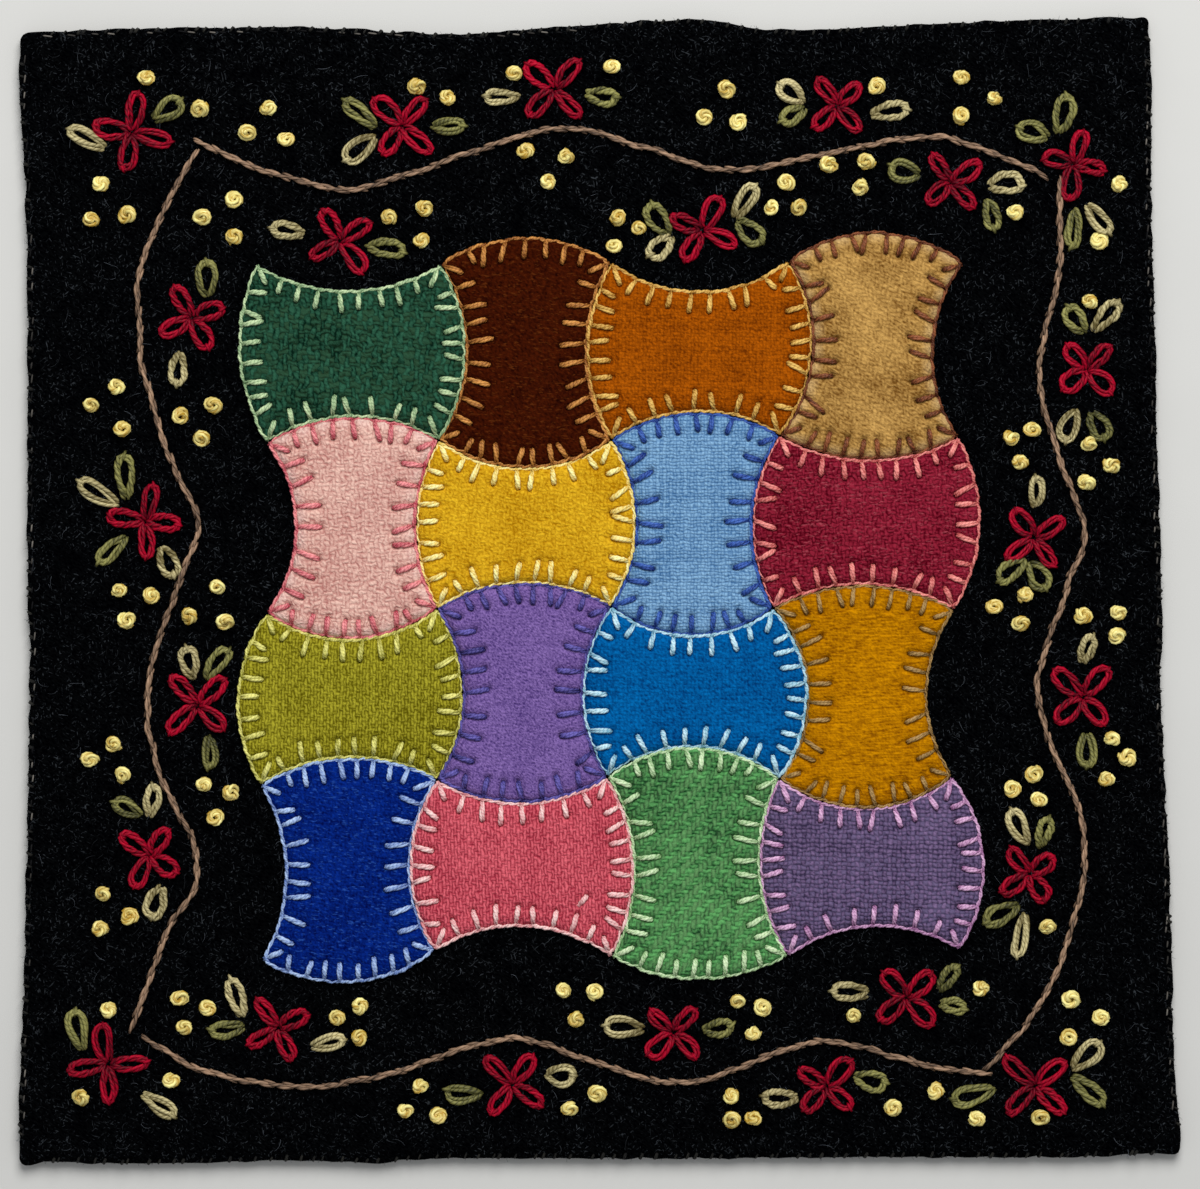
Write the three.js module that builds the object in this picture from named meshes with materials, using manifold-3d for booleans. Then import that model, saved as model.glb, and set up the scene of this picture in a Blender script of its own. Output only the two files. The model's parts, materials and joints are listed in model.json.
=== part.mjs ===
// Penny rug: a small black wool mat with sixteen apple-core patches in the middle and a border of
// vine, flowers, leaves and knots. Millimetres, +Z up. The rug lies flat with its underside at z = 0.
import * as THREE from "three";
import { mergeVertices } from "three/addons/utils/BufferGeometryUtils.js";
import loadManifold from "manifold-3d";

// Driving dimensions
const groundThickness = 2.8;
const hemRound = 0.6;
const cornerRound = 2.2;
const seatGap = 0.3;
const patchThickness = 1.2;
const patchRound = 0.35;
const vineWidth = 0.9;
const vineStep = 3.2;
const vineSides = 6;
const petalReach = 5.3;
const petalWidth = 2.6;
const petalHeight = 0.8;
const petalHollow = 0.45;
const petalHollowAt = 0.62 * petalReach;
const petalNotch = 0.22 * petalWidth;
const petalSweep = { from: 1.45 * Math.PI, to: 0.55 * Math.PI };
const leafWidth = 2.7;
const leafHeight = 0.6;
const leafHollow = 0.4;
const leafHollowShare = 0.6;
const stitchLean = 0.12;
const knotRadius = 1.25;
const knotHeight = 0.95;
const knotDimple = 0.25;
const knotShoulder = 0.3 * knotHeight;
const knotCrown = 0.7 * knotRadius;
const knotSides = 7;
const sunk = 0.5;

// Steps around each round form
const hemSteps = 2;
const arcSteps = 8;
const petalSteps = 6;
const leafSteps = 8;

// The hem, anticlockwise from the bottom left: a corner, then the waver of the edge that leaves it
const hem = [
  {
    corner: [-84.3, -83.5],
    waver: [[-78.3, -83.1], [-68, -83.4], [-45.6, -82.9], [-32, -83.2], [-23, -82.6], [12, -82.6], [67, -82.4]],
  },
  {
    corner: [84.6, -82.0],
    waver: [[84.4, -77.5], [83.6, -69], [83.1, -45], [81.7, -13], [81.9, -3], [80.8, 40], [80.3, 74]],
  },
  {
    corner: [79.9, 83.6],
    waver: [[60, 83.0], [44, 82.3], [26, 81.6], [13, 83.1], [-8, 81.9], [-21, 81.1], [-38, 81.9], [-72.5, 81.7]],
  },
  {
    corner: [-84.1, 81.2],
    waver: [[-84.4, 72.7], [-83.5, 57], [-83.2, 30], [-82.9, -8], [-83.2, -30], [-83.7, -54], [-84.4, -77]],
  },
];

// Patch corners row by row, each row with the depth of the arcs that join its corners
const seamRows = [
  { corners: [[-49.9, 47.6], [-23.1, 47.5], [1.7, 47.8], [27.4, 48.0], [53.0, 47.5]], bulge: [3.9, 3.8, 4.4, 4.5] },
  { corners: [[-48.4, 21.5], [-23.4, 21.9], [1.7, 21.9], [26.1, 22.6], [52.3, 22.4]], bulge: [3.6, 4.1, 3.8, 3.5] },
  { corners: [[-48.4, -3.2], [-23.6, -2.5], [1.7, -2.3], [25.2, -2.5], [51.6, -2.8]], bulge: [4.2, 3.6, 4.1, 3.6] },
  { corners: [[-49.3, -28.2], [-23.6, -27.4], [1.1, -27], [26, -27.3], [51, -26.9]], bulge: [3.6, 3.6, 4.5, 4.5] },
  { corners: [[-49, -53.6], [-24, -52.3], [1.7, -53.3], [27.4, -53], [52, -52.2]], bulge: [4.1, 4.1, 3.3, 3.9] },
];

// The depth of the arcs down each upright seam, from the left
const seamColumns = [
  { bulge: [3.3, 4.2, 3.8, 3.6] },
  { bulge: [3.9, 3.2, 3.8, 3.9] },
  { bulge: [3.6, 3.6, 3.9, 3.6] },
  { bulge: [4.2, 3.5, 4.6, 3.5] },
  { bulge: [4.2, 3.5, 3.9, 4.1] },
];

const patchWools = [
  [["green", 0x285f4b], ["brown", 0x4b1905], ["rust", 0xb45f0a], ["tan", 0xbe9655]],
  [["pink", 0xe1aaa0], ["yellow", 0xe1af28], ["sky", 0x6e9bd2], ["crimson", 0x8c1932]],
  [["lime", 0xa09b1e], ["purple", 0x7355a0], ["blue", 0x005fa5], ["mustard", 0xc88c0a]],
  [["royal", 0x0a288c], ["rose", 0xd75a69], ["leaf", 0x4b8c4b], ["mauve", 0x5f4b78]],
];

// The vine's turns, run by run
const vineRuns = [
  {
    node: "vine_top",
    turns: [[-57.8, 65.4], [-47, 60.6], [-35.5, 58.5], [-20, 63.2], [-5.7, 67.2], [18.2, 61.1], [47.2, 66], [65, 60]],
  },
  {
    node: "vine_left",
    turns: [[-60, 63], [-66.3, 48], [-66.7, 35], [-62, 18.3], [-58.3, 9.6], [-61.6, -0.6], [-65.5, -12.9],
      [-64.2, -25.3], [-58.3, -39.6], [-63.4, -50.7], [-68.1, -64.2]],
  },
  {
    node: "vine_right",
    turns: [[66.1, 58.7], [66.3, 52.5], [66.5, 47], [64, 33.5], [64.9, 24.8], [68.3, 15.4], [70.5, 8],
      [64.7, -9.3], [63.6, -14.4], [69.4, -31.1], [70.6, -39], [65.4, -57.2], [57.2, -68]],
  },
  {
    node: "vine_bottom",
    turns: [[-66.4, -65.1], [-57.3, -69.8], [-43.5, -72], [-30.4, -70.1], [-11.8, -64.9], [8.8, -71.3],
      [17.5, -70.3], [32.7, -65.3], [42.2, -67.5], [55, -70.2]],
  },
];

// A row for each flower: its middle, its turn in degrees, and its leaves, each from base to tip
const sprays = [
  { x: -68.0, y: 66.6, turn: -11, leaves: [[3.4, 2.2, 7.5, 4.9], [-4.0, -2.4, -9.4, 0.6]] },
  { x: -28.7, y: 67.6, turn: 52, leaves: [[-3.8, 0.3, -8.7, 3.9], [-3.9, -1.6, -8.4, -5.4], [4.4, -0.1, 9.4, 0.1]] },
  { x: -6.6, y: 72.9, turn: 46, leaves: [[-5.2, -1.2, -10.4, -1.0], [4.6, -0.6, 9.6, -1.2]] },
  { x: 34.5, y: 70.5, turn: 37, leaves: [[-4.9, 1.0, -8.7, 3.3], [-4.7, -0.4, -8.4, -2.6], [5.0, -1.2, 10.7, -0.3]] },
  {
    x: 68.9, y: 62.0, turn: -11,
    leaves: [[-3.8, 3.9, -8.4, 5.4], [-2.3, 4.6, -1.0, 10.4], [0.3, -6.6, -0.3, -12.5], [1.9, -6.2, 5.5, -10.3]],
  },
  { x: -37.7, y: 50.8, turn: 36, leaves: [[-5.2, 1.0, -10.4, 1.9], [3.9, -0.6, 9.7, -1.6]] },
  {
    x: 15.0, y: 52.4, turn: 58,
    leaves: [[-4.9, 0.0, -7.7, 4.2], [-4.7, -1.4, -8.0, -4.1], [4.6, 2.2, 7.8, 6.8], [5.1, 0.9, 9.0, -1.9]],
  },
  { x: 51.0, y: 59.4, turn: 37, leaves: [[-4.5, 1.0, -9.1, 2.5], [5.5, -0.6, 10.9, -0.6], [5.2, -2.8, 6.4, -7.3]] },
  { x: -59.1, y: 39.6, turn: 23, leaves: [[2.2, 3.2, 2.2, 8.7], [-1.7, -4.9, -2.3, -10.0]] },
  {
    x: -66.0, y: 10.2, turn: -6,
    leaves: [[-4.1, 2.3, -10.0, 5.9], [-2.8, 3.4, -3.2, 10.0], [-2.9, -2.7, -7.1, -6.4], [2.3, -3.8, 4.2, -8.2]],
  },
  { x: -58.4, y: -16.7, turn: 48, leaves: [[-0.9, 4.1, -1.7, 8.9], [1.8, 4.2, 4.8, 8.6], [1.6, -4.4, 1.5, -9.4]] },
  { x: -65.4, y: -38.5, turn: 60, leaves: [[0.2, 5.8, 0.6, 10.6], [-1.6, 5.7, -5.5, 8.1], [1.7, -4.5, 0.4, -9.4]] },
  { x: -71.5, y: -68.7, turn: 6, leaves: [[-3.6, 2.0, -4.8, 8.1], [5.1, -4.5, 10.0, -7.8]] },
  { x: -46.7, y: -63.6, turn: 29, leaves: [[-5.2, 1.8, -7, 7.7], [-4.9, 0.4, -10.3, -0.3], [4.9, -2.5, 9.9, -1.5]] },
  { x: 10.7, y: -64.2, turn: 41, leaves: [[-4.4, 0.6, -10.3, 1.2], [4.4, 0.4, 9.0, 1.2]] },
  { x: 44.6, y: -59.1, turn: 41, leaves: [[-5.4, 0.7, -11.2, 1.0], [4.8, 1.3, 7.5, 4.9], [4.9, -0.9, 8.9, -1.7]] },
  { x: -12.7, y: -71.8, turn: 52, leaves: [[-4.5, -1.0, -10.0, -0.6], [4.9, 1.5, 9.4, 1.6]] },
  { x: 33.0, y: -72.1, turn: 53, leaves: [[4.1, 1.0, 9.1, 0.7], [-4.2, -1.2, -9.6, -1.3]] },
  { x: 63.4, y: -72.0, turn: 47, leaves: [[-6.1, -0.6, -12.5, -2.0], [5.4, 2.8, 9.4, 6.7], [5.2, 0.9, 10.2, -2.8]] },
  {
    x: 70.8, y: 32.1, turn: 43,
    leaves: [[-0.5, 5.5, -2.9, 9.6], [1.2, 5.8, 4.8, 10.2], [-1.5, -5.8, -3.0, -10.7], [0.8, -5.6, 3.2, -9.2]],
  },
  { x: 70.2, y: -15.5, turn: 44, leaves: [[0.0, 5.1, 1.6, 9.3], [0.7, -5.1, 0.7, -10.4]] },
  { x: 63.2, y: 7.8, turn: 36, leaves: [[0.1, 4.4, 0.1, 9.1], [-1.7, -3.6, -5.4, -6.7], [0.0, -3.9, 1.9, -7.8]] },
  {
    x: 62.5, y: -41.2, turn: 33,
    leaves: [[-0.8, 4.5, -2.8, 9.7], [1.8, 4.2, 2.8, 8.6], [-1.6, -4.6, -6.7, -7.3], [-0.6, -6.0, -1.8, -12.2]],
  },
];

// The knots by cluster, going round the border from the top left
const knotClusters = [
  { place: "top left corner", knots: [[-65.7, 74.6], [-58.1, 70.0], [-72.4, 59.2], [-73.8, 54.0], [-68.8, 54.7]] },
  { place: "top outer left", knots: [[-48.0, 70.2], [-51.2, 66.6], [-45.5, 65.6]] },
  { place: "top inner left", knots: [[-53.2, 56.9], [-57.7, 54.3], [-53.0, 51.5]] },
  { place: "top outer sprays", knots: [[-26.2, 73.7], [-22.1, 71.7], [-12.4, 75.6], [1.8, 76.2]] },
  { place: "over the brown patch", knots: [[-30.6, 54.3], [-25.5, 55.6], [-25.9, 50.9]] },
  { place: "under the vine's crest", knots: [[-10.8, 63.4], [-4.9, 63.0], [-7.5, 59.4]] },
  { place: "top outer middle", knots: [[18.5, 72.9], [15.2, 68.8], [20.2, 68.1]] },
  { place: "over the rust patch", knots: [[2.7, 54.3], [5.7, 52.4], [2.0, 50.3]] },
  { place: "top inner right", knots: [[27.1, 59.4], [25.0, 55.7], [29.0, 55.7]] },
  { place: "between two sprays", knots: [[33.5, 61.6], [38.7, 61.9], [37.8, 58.6]] },
  { place: "top outer right", knots: [[40.4, 73.6], [52.6, 74.6], [57.4, 71.6], [52.6, 69.1]] },
  { place: "top right corner", knots: [[60.4, 55.0], [75.5, 59.1], [72.6, 49.0], [71.3, 42.2]] },
  { place: "right outer top", knots: [[71.0, 20.9], [74.4, 18.3], [71.0, 15.2]] },
  { place: "right inner top", knots: [[59.9, 22.2], [62.8, 23.6], [61.0, 18.7]] },
  { place: "right inner middle", knots: [[57.4, -2.2], [61.9, -1.2], [61.2, -4.8]] },
  { place: "right outer middle", knots: [[70.3, -3.5], [75.4, -3.2], [75.1, -6.5]] },
  { place: "right outer low", knots: [[74.4, -21.5], [76.7, -24.2], [73.7, -27.3]] },
  { place: "right inner low", knots: [[63.1, -26.6], [59.9, -28.7], [63.8, -30.3]] },
  { place: "bottom right corner", knots: [[65.1, -48.8], [68.4, -59.4], [72.9, -62.0], [68.1, -64.9]] },
  { place: "bottom outer right", knots: [[64.1, -78.3], [54.8, -76.6], [48.8, -72.9], [42.7, -75.0]] },
  { place: "bottom inner right", knots: [[55.4, -57.8], [36.9, -61.9]] },
  { place: "under the leaf patch", knots: [[20.1, -59.5], [23.7, -60.5], [22.3, -64.3]] },
  { place: "bottom outer middle", knots: [[19.1, -73.4], [19.2, -76.9], [22.4, -76.5]] },
  { place: "beside the bottom spray", knots: [[-4.4, -75.2], [-0.4, -73.0]] },
  { place: "under the rose patch", knots: [[-5.3, -58.1], [-0.7, -58.1], [-3.4, -62.1]] },
  { place: "bottom outer left", knots: [[-26.4, -72.6], [-28.2, -75.5], [-23.4, -76.2]] },
  { place: "bottom inner left", knots: [[-38.2, -61.7], [-34.8, -60.2], [-34.7, -64.9]] },
  { place: "left of the bottom spray", knots: [[-60.9, -59.2], [-57.2, -60.3], [-60.3, -62.9]] },
  { place: "bottom left corner", knots: [[-71.3, -60.6], [-75.6, -74.2], [-62.2, -71.1]] },
  { place: "left outer low", knots: [[-72.1, -44.1], [-68.3, -47.2], [-72.6, -49.1]] },
  { place: "left inner low", knots: [[-57.5, -28.2], [-53.5, -29.3], [-55.8, -32.9]] },
  { place: "left outer middle", knots: [[-70.6, -22.2], [-74.1, -24.5], [-69.2, -26.7]] },
  { place: "left inner middle", knots: [[-55.5, 0.6], [-59.4, -3.6], [-54.4, -4.5]] },
  { place: "left of the vine", knots: [[-69.7, 0.0], [-65.2, -0.9], [-68.7, -4.2]] },
  { place: "left outer top", knots: [[-70.2, 29.6], [-73.9, 27.1], [-69.3, 23.5]] },
  { place: "left inner top", knots: [[-56.1, 27.0], [-60.6, 25.6], [-57.8, 22.2]] },
];

const manifold = await loadManifold();
manifold.setup();

const upwards = new THREE.Vector3(0, 0, 1);

function wool(colour, roughness = 0.95) {
  return new THREE.MeshStandardMaterial({ color: colour, roughness, metalness: 0 });
}

// A triangle mesh from corner points and triples of their numbers
function meshFrom(points, triangles) {
  const geometry = new THREE.BufferGeometry();
  geometry.setAttribute("position", new THREE.Float32BufferAttribute(points.flatMap((p) => p.toArray()), 3));
  geometry.setIndex(triangles.flat());
  return geometry;
}

// A closed body from level rings of equal count, lowest first. cap fills the top ring and may add points.
function stackRings(rings, cap = flatCap) {
  const count = rings[0].length;
  const points = rings.flat();
  const triangles = flatCap(rings[0]).map(([a, b, c]) => [a, c, b]);
  for (let level = 0; level + 1 < rings.length; level++) {
    for (let i = 0; i < count; i++) {
      const low = level * count + i;
      const lowNext = level * count + (i + 1) % count;
      triangles.push([low, lowNext, lowNext + count], [low, lowNext + count, low + count]);
    }
  }
  const top = rings.length * count - count;
  const added = [];
  for (const triangle of cap(rings.at(-1), added)) {
    triangles.push(triangle.map((corner) => corner + top));
  }
  return meshFrom(points.concat(added), triangles);
}

function flatCap(ring) {
  return THREE.ShapeUtils.triangulateShape(ring.map((p) => new THREE.Vector2(p.x, p.y)), []);
}

// An outline moved inwards by a margin, square to its edges, at one height
function insetRing(outline, margin, z) {
  const count = outline.length;
  return outline.map((point, i) => {
    const before = new THREE.Vector2().subVectors(point, outline[(i + count - 1) % count]).normalize();
    const after = new THREE.Vector2().subVectors(outline[(i + 1) % count], point).normalize();
    const along = before.clone().add(after).normalize();
    const reach = margin / Math.max(along.dot(after), 0.5);
    return new THREE.Vector3(point.x - along.y * reach, point.y + along.x * reach, z);
  });
}

// The hem's outline: each edge a spline through its waver, each corner a short round
function hemOutline() {
  const path = new THREE.Path();
  const away = ([cx, cy], [x, y]) => {
    const corner = new THREE.Vector2(cx, cy);
    return new THREE.Vector2(x, y).sub(corner).setLength(cornerRound).add(corner);
  };
  const first = away(hem[0].corner, hem[0].waver[0]);
  path.moveTo(first.x, first.y);
  hem.forEach((edge, i) => {
    const next = hem[(i + 1) % hem.length];
    const end = away(next.corner, edge.waver.at(-1));
    const start = away(next.corner, next.waver[0]);
    path.splineThru([...edge.waver.map(([x, y]) => new THREE.Vector2(x, y)), end]);
    path.quadraticCurveTo(...next.corner, start.x, start.y);
  });
  return path.getPoints(hemSteps).slice(0, -1);
}

// Points of a circular arc from a to b, without b. A positive bulge lies to the right of the way to b.
function arcPoints(a, b, bulge) {
  const start = new THREE.Vector2(...a);
  const chord = new THREE.Vector2(...b).sub(start);
  const half = chord.length() / 2;
  const radius = (half * half + bulge * bulge) / (2 * Math.abs(bulge));
  const opening = Math.asin(half / radius);
  const along = chord.clone().normalize();
  const right = new THREE.Vector2(along.y, -along.x).multiplyScalar(Math.sign(bulge));
  const points = [];
  for (let i = 0; i < arcSteps; i++) {
    const angle = opening * (2 * i / arcSteps - 1);
    const rise = radius * (Math.cos(angle) - Math.cos(opening));
    const forward = half + radius * Math.sin(angle);
    points.push(start.clone().addScaledVector(along, forward).addScaledVector(right, rise));
  }
  return points;
}

// One apple-core outline, anticlockwise. Neighbouring arcs bend opposite ways.
function patchOutline(row, column) {
  const top = seamRows[row];
  const low = seamRows[row + 1];
  const side = (row + column) % 2 === 0 ? 1 : -1;
  return [
    ...arcPoints(low.corners[column], low.corners[column + 1], -side * low.bulge[column]),
    ...arcPoints(low.corners[column + 1], top.corners[column + 1], side * seamColumns[column + 1].bulge[row]),
    ...arcPoints(top.corners[column + 1], top.corners[column], -side * top.bulge[column]),
    ...arcPoints(top.corners[column], low.corners[column], side * seamColumns[column].bulge[row]),
  ];
}

function patchSolid(row, column) {
  const outline = patchOutline(row, column);
  const floor = groundThickness + seatGap;
  const margin = seatGap / 2;
  return stackRings([
    insetRing(outline, margin + patchRound, floor),
    insetRing(outline, margin, floor + patchRound),
    insetRing(outline, margin, floor + patchThickness - patchRound),
    insetRing(outline, margin + patchRound, floor + patchThickness),
  ]);
}

// A drop along +X: pointed at its base, round at its tip
function dropPoint(length, width, turn) {
  const widest = 0.77;
  const across = Math.sin(turn) * Math.sin(turn / 2) / widest;
  return new THREE.Vector2(length * (1 - Math.cos(turn)) / 2, width / 2 * across);
}

// Four petals round one middle, each with a low hollow inside its loop and a notch before the next
function flowerSolid() {
  const outline = [];
  for (let petal = 0; petal < 4; petal++) {
    const bearing = petal * Math.PI / 2;
    outline.push(new THREE.Vector2(petalNotch, -petalNotch).rotateAround(new THREE.Vector2(), bearing));
    for (let i = 0; i < petalSteps; i++) {
      const turn = THREE.MathUtils.lerp(petalSweep.from, petalSweep.to, i / (petalSteps - 1));
      const drop = dropPoint(petalReach, petalWidth, turn);
      outline.push(drop.rotateAround(new THREE.Vector2(), bearing));
    }
  }
  const floor = groundThickness + seatGap;
  const cap = (ring, added) => {
    const perPetal = petalSteps + 1;
    const triangles = [[0, perPetal, 2 * perPetal], [0, 2 * perPetal, 3 * perPetal]];
    for (let petal = 0; petal < 4; petal++) {
      const middle = ring.length + added.length;
      const bearing = petal * Math.PI / 2;
      const hollow = new THREE.Vector3(petalHollowAt, 0, 0).applyAxisAngle(upwards, bearing);
      added.push(hollow.setZ(floor + petalHeight - petalHollow));
      for (let i = 0; i < perPetal; i++) {
        const corner = petal * perPetal + i;
        triangles.push([middle, corner, (corner + 1) % ring.length]);
      }
      triangles.push([middle, (petal + 1) * perPetal % ring.length, petal * perPetal]);
    }
    return triangles;
  };
  return stackRings([insetRing(outline, 0, floor), insetRing(outline, stitchLean, floor + petalHeight)], cap);
}

// A leaf's loop, raised from inside the ground to a rim around a low hollow
function leafSolid([baseX, baseY, tipX, tipY]) {
  const base = new THREE.Vector2(baseX, baseY);
  const run = new THREE.Vector2(tipX, tipY).sub(base);
  const outline = [];
  for (let i = 0; i < leafSteps; i++) {
    const drop = dropPoint(run.length(), leafWidth, 2 * Math.PI * i / leafSteps);
    outline.push(drop.rotateAround(new THREE.Vector2(), run.angle()).add(base));
  }
  outline.reverse();
  const cap = (ring, added) => {
    const middle = base.clone().addScaledVector(run, leafHollowShare);
    added.push(new THREE.Vector3(middle.x, middle.y, groundThickness + leafHeight - leafHollow));
    return ring.map((_, i) => [i, (i + 1) % ring.length, ring.length]);
  };
  const rim = groundThickness + leafHeight;
  return stackRings([insetRing(outline, 0, groundThickness - sunk), insetRing(outline, stitchLean, rim)], cap);
}

// A knot's wound button with a dimple in the middle
function knotSolid([x, y]) {
  const profile = [
    [0, -sunk], [knotRadius, -sunk], [knotRadius, knotShoulder],
    [knotCrown, knotHeight], [0, knotHeight - knotDimple],
  ].map(([r, z]) => new THREE.Vector2(r, z));
  const button = new THREE.LatheGeometry(profile, knotSides);
  return button.rotateX(Math.PI / 2).translate(x, y, groundThickness);
}

function toManifold(geometry) {
  geometry.deleteAttribute("normal");
  geometry.deleteAttribute("uv");
  const merged = mergeVertices(geometry, 1e-4);
  const triVerts = [];
  const index = merged.getIndex().array;
  for (let i = 0; i < index.length; i += 3) {
    const triangle = [index[i], index[i + 1], index[i + 2]];
    if (new Set(triangle).size === 3) triVerts.push(...triangle);
  }
  return new manifold.Manifold(new manifold.Mesh({
    numProp: 3,
    vertProperties: new Float32Array(merged.getAttribute("position").array),
    triVerts: new Uint32Array(triVerts),
  }));
}

function fromManifold(solid) {
  const mesh = solid.getMesh();
  const geometry = new THREE.BufferGeometry();
  geometry.setAttribute("position", new THREE.BufferAttribute(mesh.vertProperties, 3));
  geometry.setIndex(new THREE.BufferAttribute(mesh.triVerts, 1));
  return geometry;
}

// The hemmed cloth with its leaves and knots raised in the top face
function groundSolid() {
  const outline = hemOutline();
  const slab = stackRings([
    insetRing(outline, hemRound, 0),
    insetRing(outline, 0, hemRound),
    insetRing(outline, 0, groundThickness - hemRound),
    insetRing(outline, hemRound, groundThickness),
  ]);
  const leaves = sprays.flatMap(({ x, y, leaves: run }) =>
    run.map(([bx, by, tx, ty]) => leafSolid([x + bx, y + by, x + tx, y + ty])));
  const knots = knotClusters.flatMap((cluster) => cluster.knots.map(knotSolid));
  const raised = [...leaves, ...knots].map(toManifold);
  return fromManifold(raised.reduce((cloth, stitch) => cloth.add(stitch), toManifold(slab)));
}

// A low round cord along one run of the vine
function vineSolid(turns) {
  const height = groundThickness + seatGap + vineWidth / 2;
  const path = new THREE.CatmullRomCurve3(turns.map(([x, y]) => new THREE.Vector3(x, y, height)));
  const section = new THREE.Shape(Array.from({ length: vineSides }, (_, i) => {
    const angle = 2 * Math.PI * (i + 0.5) / vineSides;
    return new THREE.Vector2(Math.cos(angle), Math.sin(angle)).multiplyScalar(vineWidth / 2);
  }));
  const steps = Math.round(path.getLength() / vineStep);
  return new THREE.ExtrudeGeometry(section, { steps, extrudePath: path });
}

const rug = new THREE.Group();

function add(node, geometry, material) {
  const mesh = new THREE.Mesh(geometry, material);
  mesh.name = node;
  rug.add(mesh);
  return mesh;
}

const ground = add("ground", groundSolid(), wool(0x0a0a0c));

patchWools.forEach((row, r) => {
  row.forEach(([shade, colour], c) => add(`patch_${shade}`, patchSolid(r, c), wool(colour)));
});

vineRuns.forEach(({ node, turns }) => add(node, vineSolid(turns), wool(0x7d6450, 0.8)));

sprays.forEach(({ x, y, turn }, i) => {
  const flower = add(`flower_${String(i + 1).padStart(2, "0")}`, flowerSolid(), wool(0xaa0a2d, 0.7));
  flower.position.set(x, y, 0);
  flower.rotation.z = THREE.MathUtils.degToRad(turn);
});

// The origin is under the middle of the ground's box
ground.geometry.computeBoundingBox();
const middle = ground.geometry.boundingBox.getCenter(new THREE.Vector3());
rug.position.set(-middle.x, -middle.y, 0);

export default rug;
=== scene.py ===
import json
import math

import bmesh
import bpy
import numpy as np
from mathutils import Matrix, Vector, noise

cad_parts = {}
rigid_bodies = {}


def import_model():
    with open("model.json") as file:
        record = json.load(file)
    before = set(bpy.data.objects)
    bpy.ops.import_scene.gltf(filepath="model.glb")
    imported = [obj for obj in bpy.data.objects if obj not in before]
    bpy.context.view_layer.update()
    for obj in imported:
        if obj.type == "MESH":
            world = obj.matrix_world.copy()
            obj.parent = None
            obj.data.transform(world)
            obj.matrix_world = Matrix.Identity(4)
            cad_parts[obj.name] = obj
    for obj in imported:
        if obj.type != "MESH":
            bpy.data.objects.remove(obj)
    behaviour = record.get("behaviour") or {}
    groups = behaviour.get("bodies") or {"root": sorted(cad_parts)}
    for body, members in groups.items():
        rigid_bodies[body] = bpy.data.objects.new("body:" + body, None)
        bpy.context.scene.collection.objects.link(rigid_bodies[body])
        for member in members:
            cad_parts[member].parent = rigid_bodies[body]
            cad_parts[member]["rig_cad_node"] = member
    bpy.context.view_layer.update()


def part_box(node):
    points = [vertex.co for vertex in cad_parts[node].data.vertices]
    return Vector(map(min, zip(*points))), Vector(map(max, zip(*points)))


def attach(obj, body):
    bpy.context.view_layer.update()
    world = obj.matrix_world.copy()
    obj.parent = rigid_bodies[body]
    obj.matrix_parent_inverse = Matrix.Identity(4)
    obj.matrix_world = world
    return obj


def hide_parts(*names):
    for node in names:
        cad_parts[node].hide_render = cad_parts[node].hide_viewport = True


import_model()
mm = 0.001

rug = {"middle": (0.04, 0.08), "top": 2.8, "seat": 2.95, "patch": 4.2, "pitch": 25.4}  # millimetres
tiny = 1e-9


def toFrame(points):  # rug millimetres to metres about the rug's middle
    moved = np.array(points, float)
    moved[..., :2] -= rug["middle"]
    return moved * mm


def smoothPath(points, step):  # an even walk along a soft curve through the points
    points = np.array(points, float)
    padded = np.vstack([2 * points[0] - points[1], points, 2 * points[-1] - points[-2]])
    t = np.linspace(0, 1, 17)[:-1, None]
    runs = []
    for a, b, c, d in zip(padded, padded[1:], padded[2:], padded[3:]):
        squared = 2 * a - 5 * b + 4 * c - d
        cubed = 3 * b - a - 3 * c + d
        runs.append(0.5 * (2 * b + (c - a) * t + squared * t**2 + cubed * t**3))
    fine = np.vstack(runs + [points[-1:]])
    return evenPath(fine, max(3, round(pathLength(fine) / step) + 1))


def pathLength(points):
    return np.linalg.norm(np.diff(points, axis=0), axis=1).sum()


def pathAt(points, share):  # where a share of the way along a path comes to
    walked = np.concatenate([[0], np.cumsum(np.linalg.norm(np.diff(points, axis=0), axis=1))])
    at = np.asarray(share) * walked[-1]
    return np.stack([np.interp(at, walked, column) for column in np.transpose(points)], -1)


def evenPath(points, count):
    return pathAt(points, np.linspace(0, 1, count))


def fourSided(u, v, bottom, right, top, left, corners):  # spots between four sides, by shares across and up
    u, v = np.asarray(u, float)[..., None], np.asarray(v, float)[..., None]
    low, lowRight, high, highRight = corners
    lines = (1 - v) * bottom + v * top + (1 - u) * left + u * right
    lines = lines - (1 - u) * (1 - v) * low - u * (1 - v) * lowRight
    return lines - (1 - u) * v * high - u * v * highRight


def roundCorners(inset, radius):  # how far in from two sides, eased round their corner
    x, y = inset[..., 0], inset[..., 1]
    p, q = np.clip((radius - x) / radius, 0, 1), np.clip((radius - y) / radius, 0, 1)
    easedX = np.where(p > 0, radius - radius * p * np.sqrt(1 - q * q / 2), x)
    easedY = np.where(q > 0, radius - radius * q * np.sqrt(1 - p * p / 2), y)
    return np.stack([easedX, easedY], -1)


def lumps(x, y, scale, layer):  # soft unevenness of a cloth
    return noise.noise(Vector((x * scale, y * scale, layer)))


def anyTurn(rng):  # a random bearing
    return rng.uniform(0, 6.28)


def feed(socket, value):
    if isinstance(value, Wire):
        socket.id_data.links.new(value.socket, socket)
    else:
        socket.default_value = value


def sign(operation):  # a method that adds a Math node
    return lambda wire, *others: wire.calc(operation, wire, *others)


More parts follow.
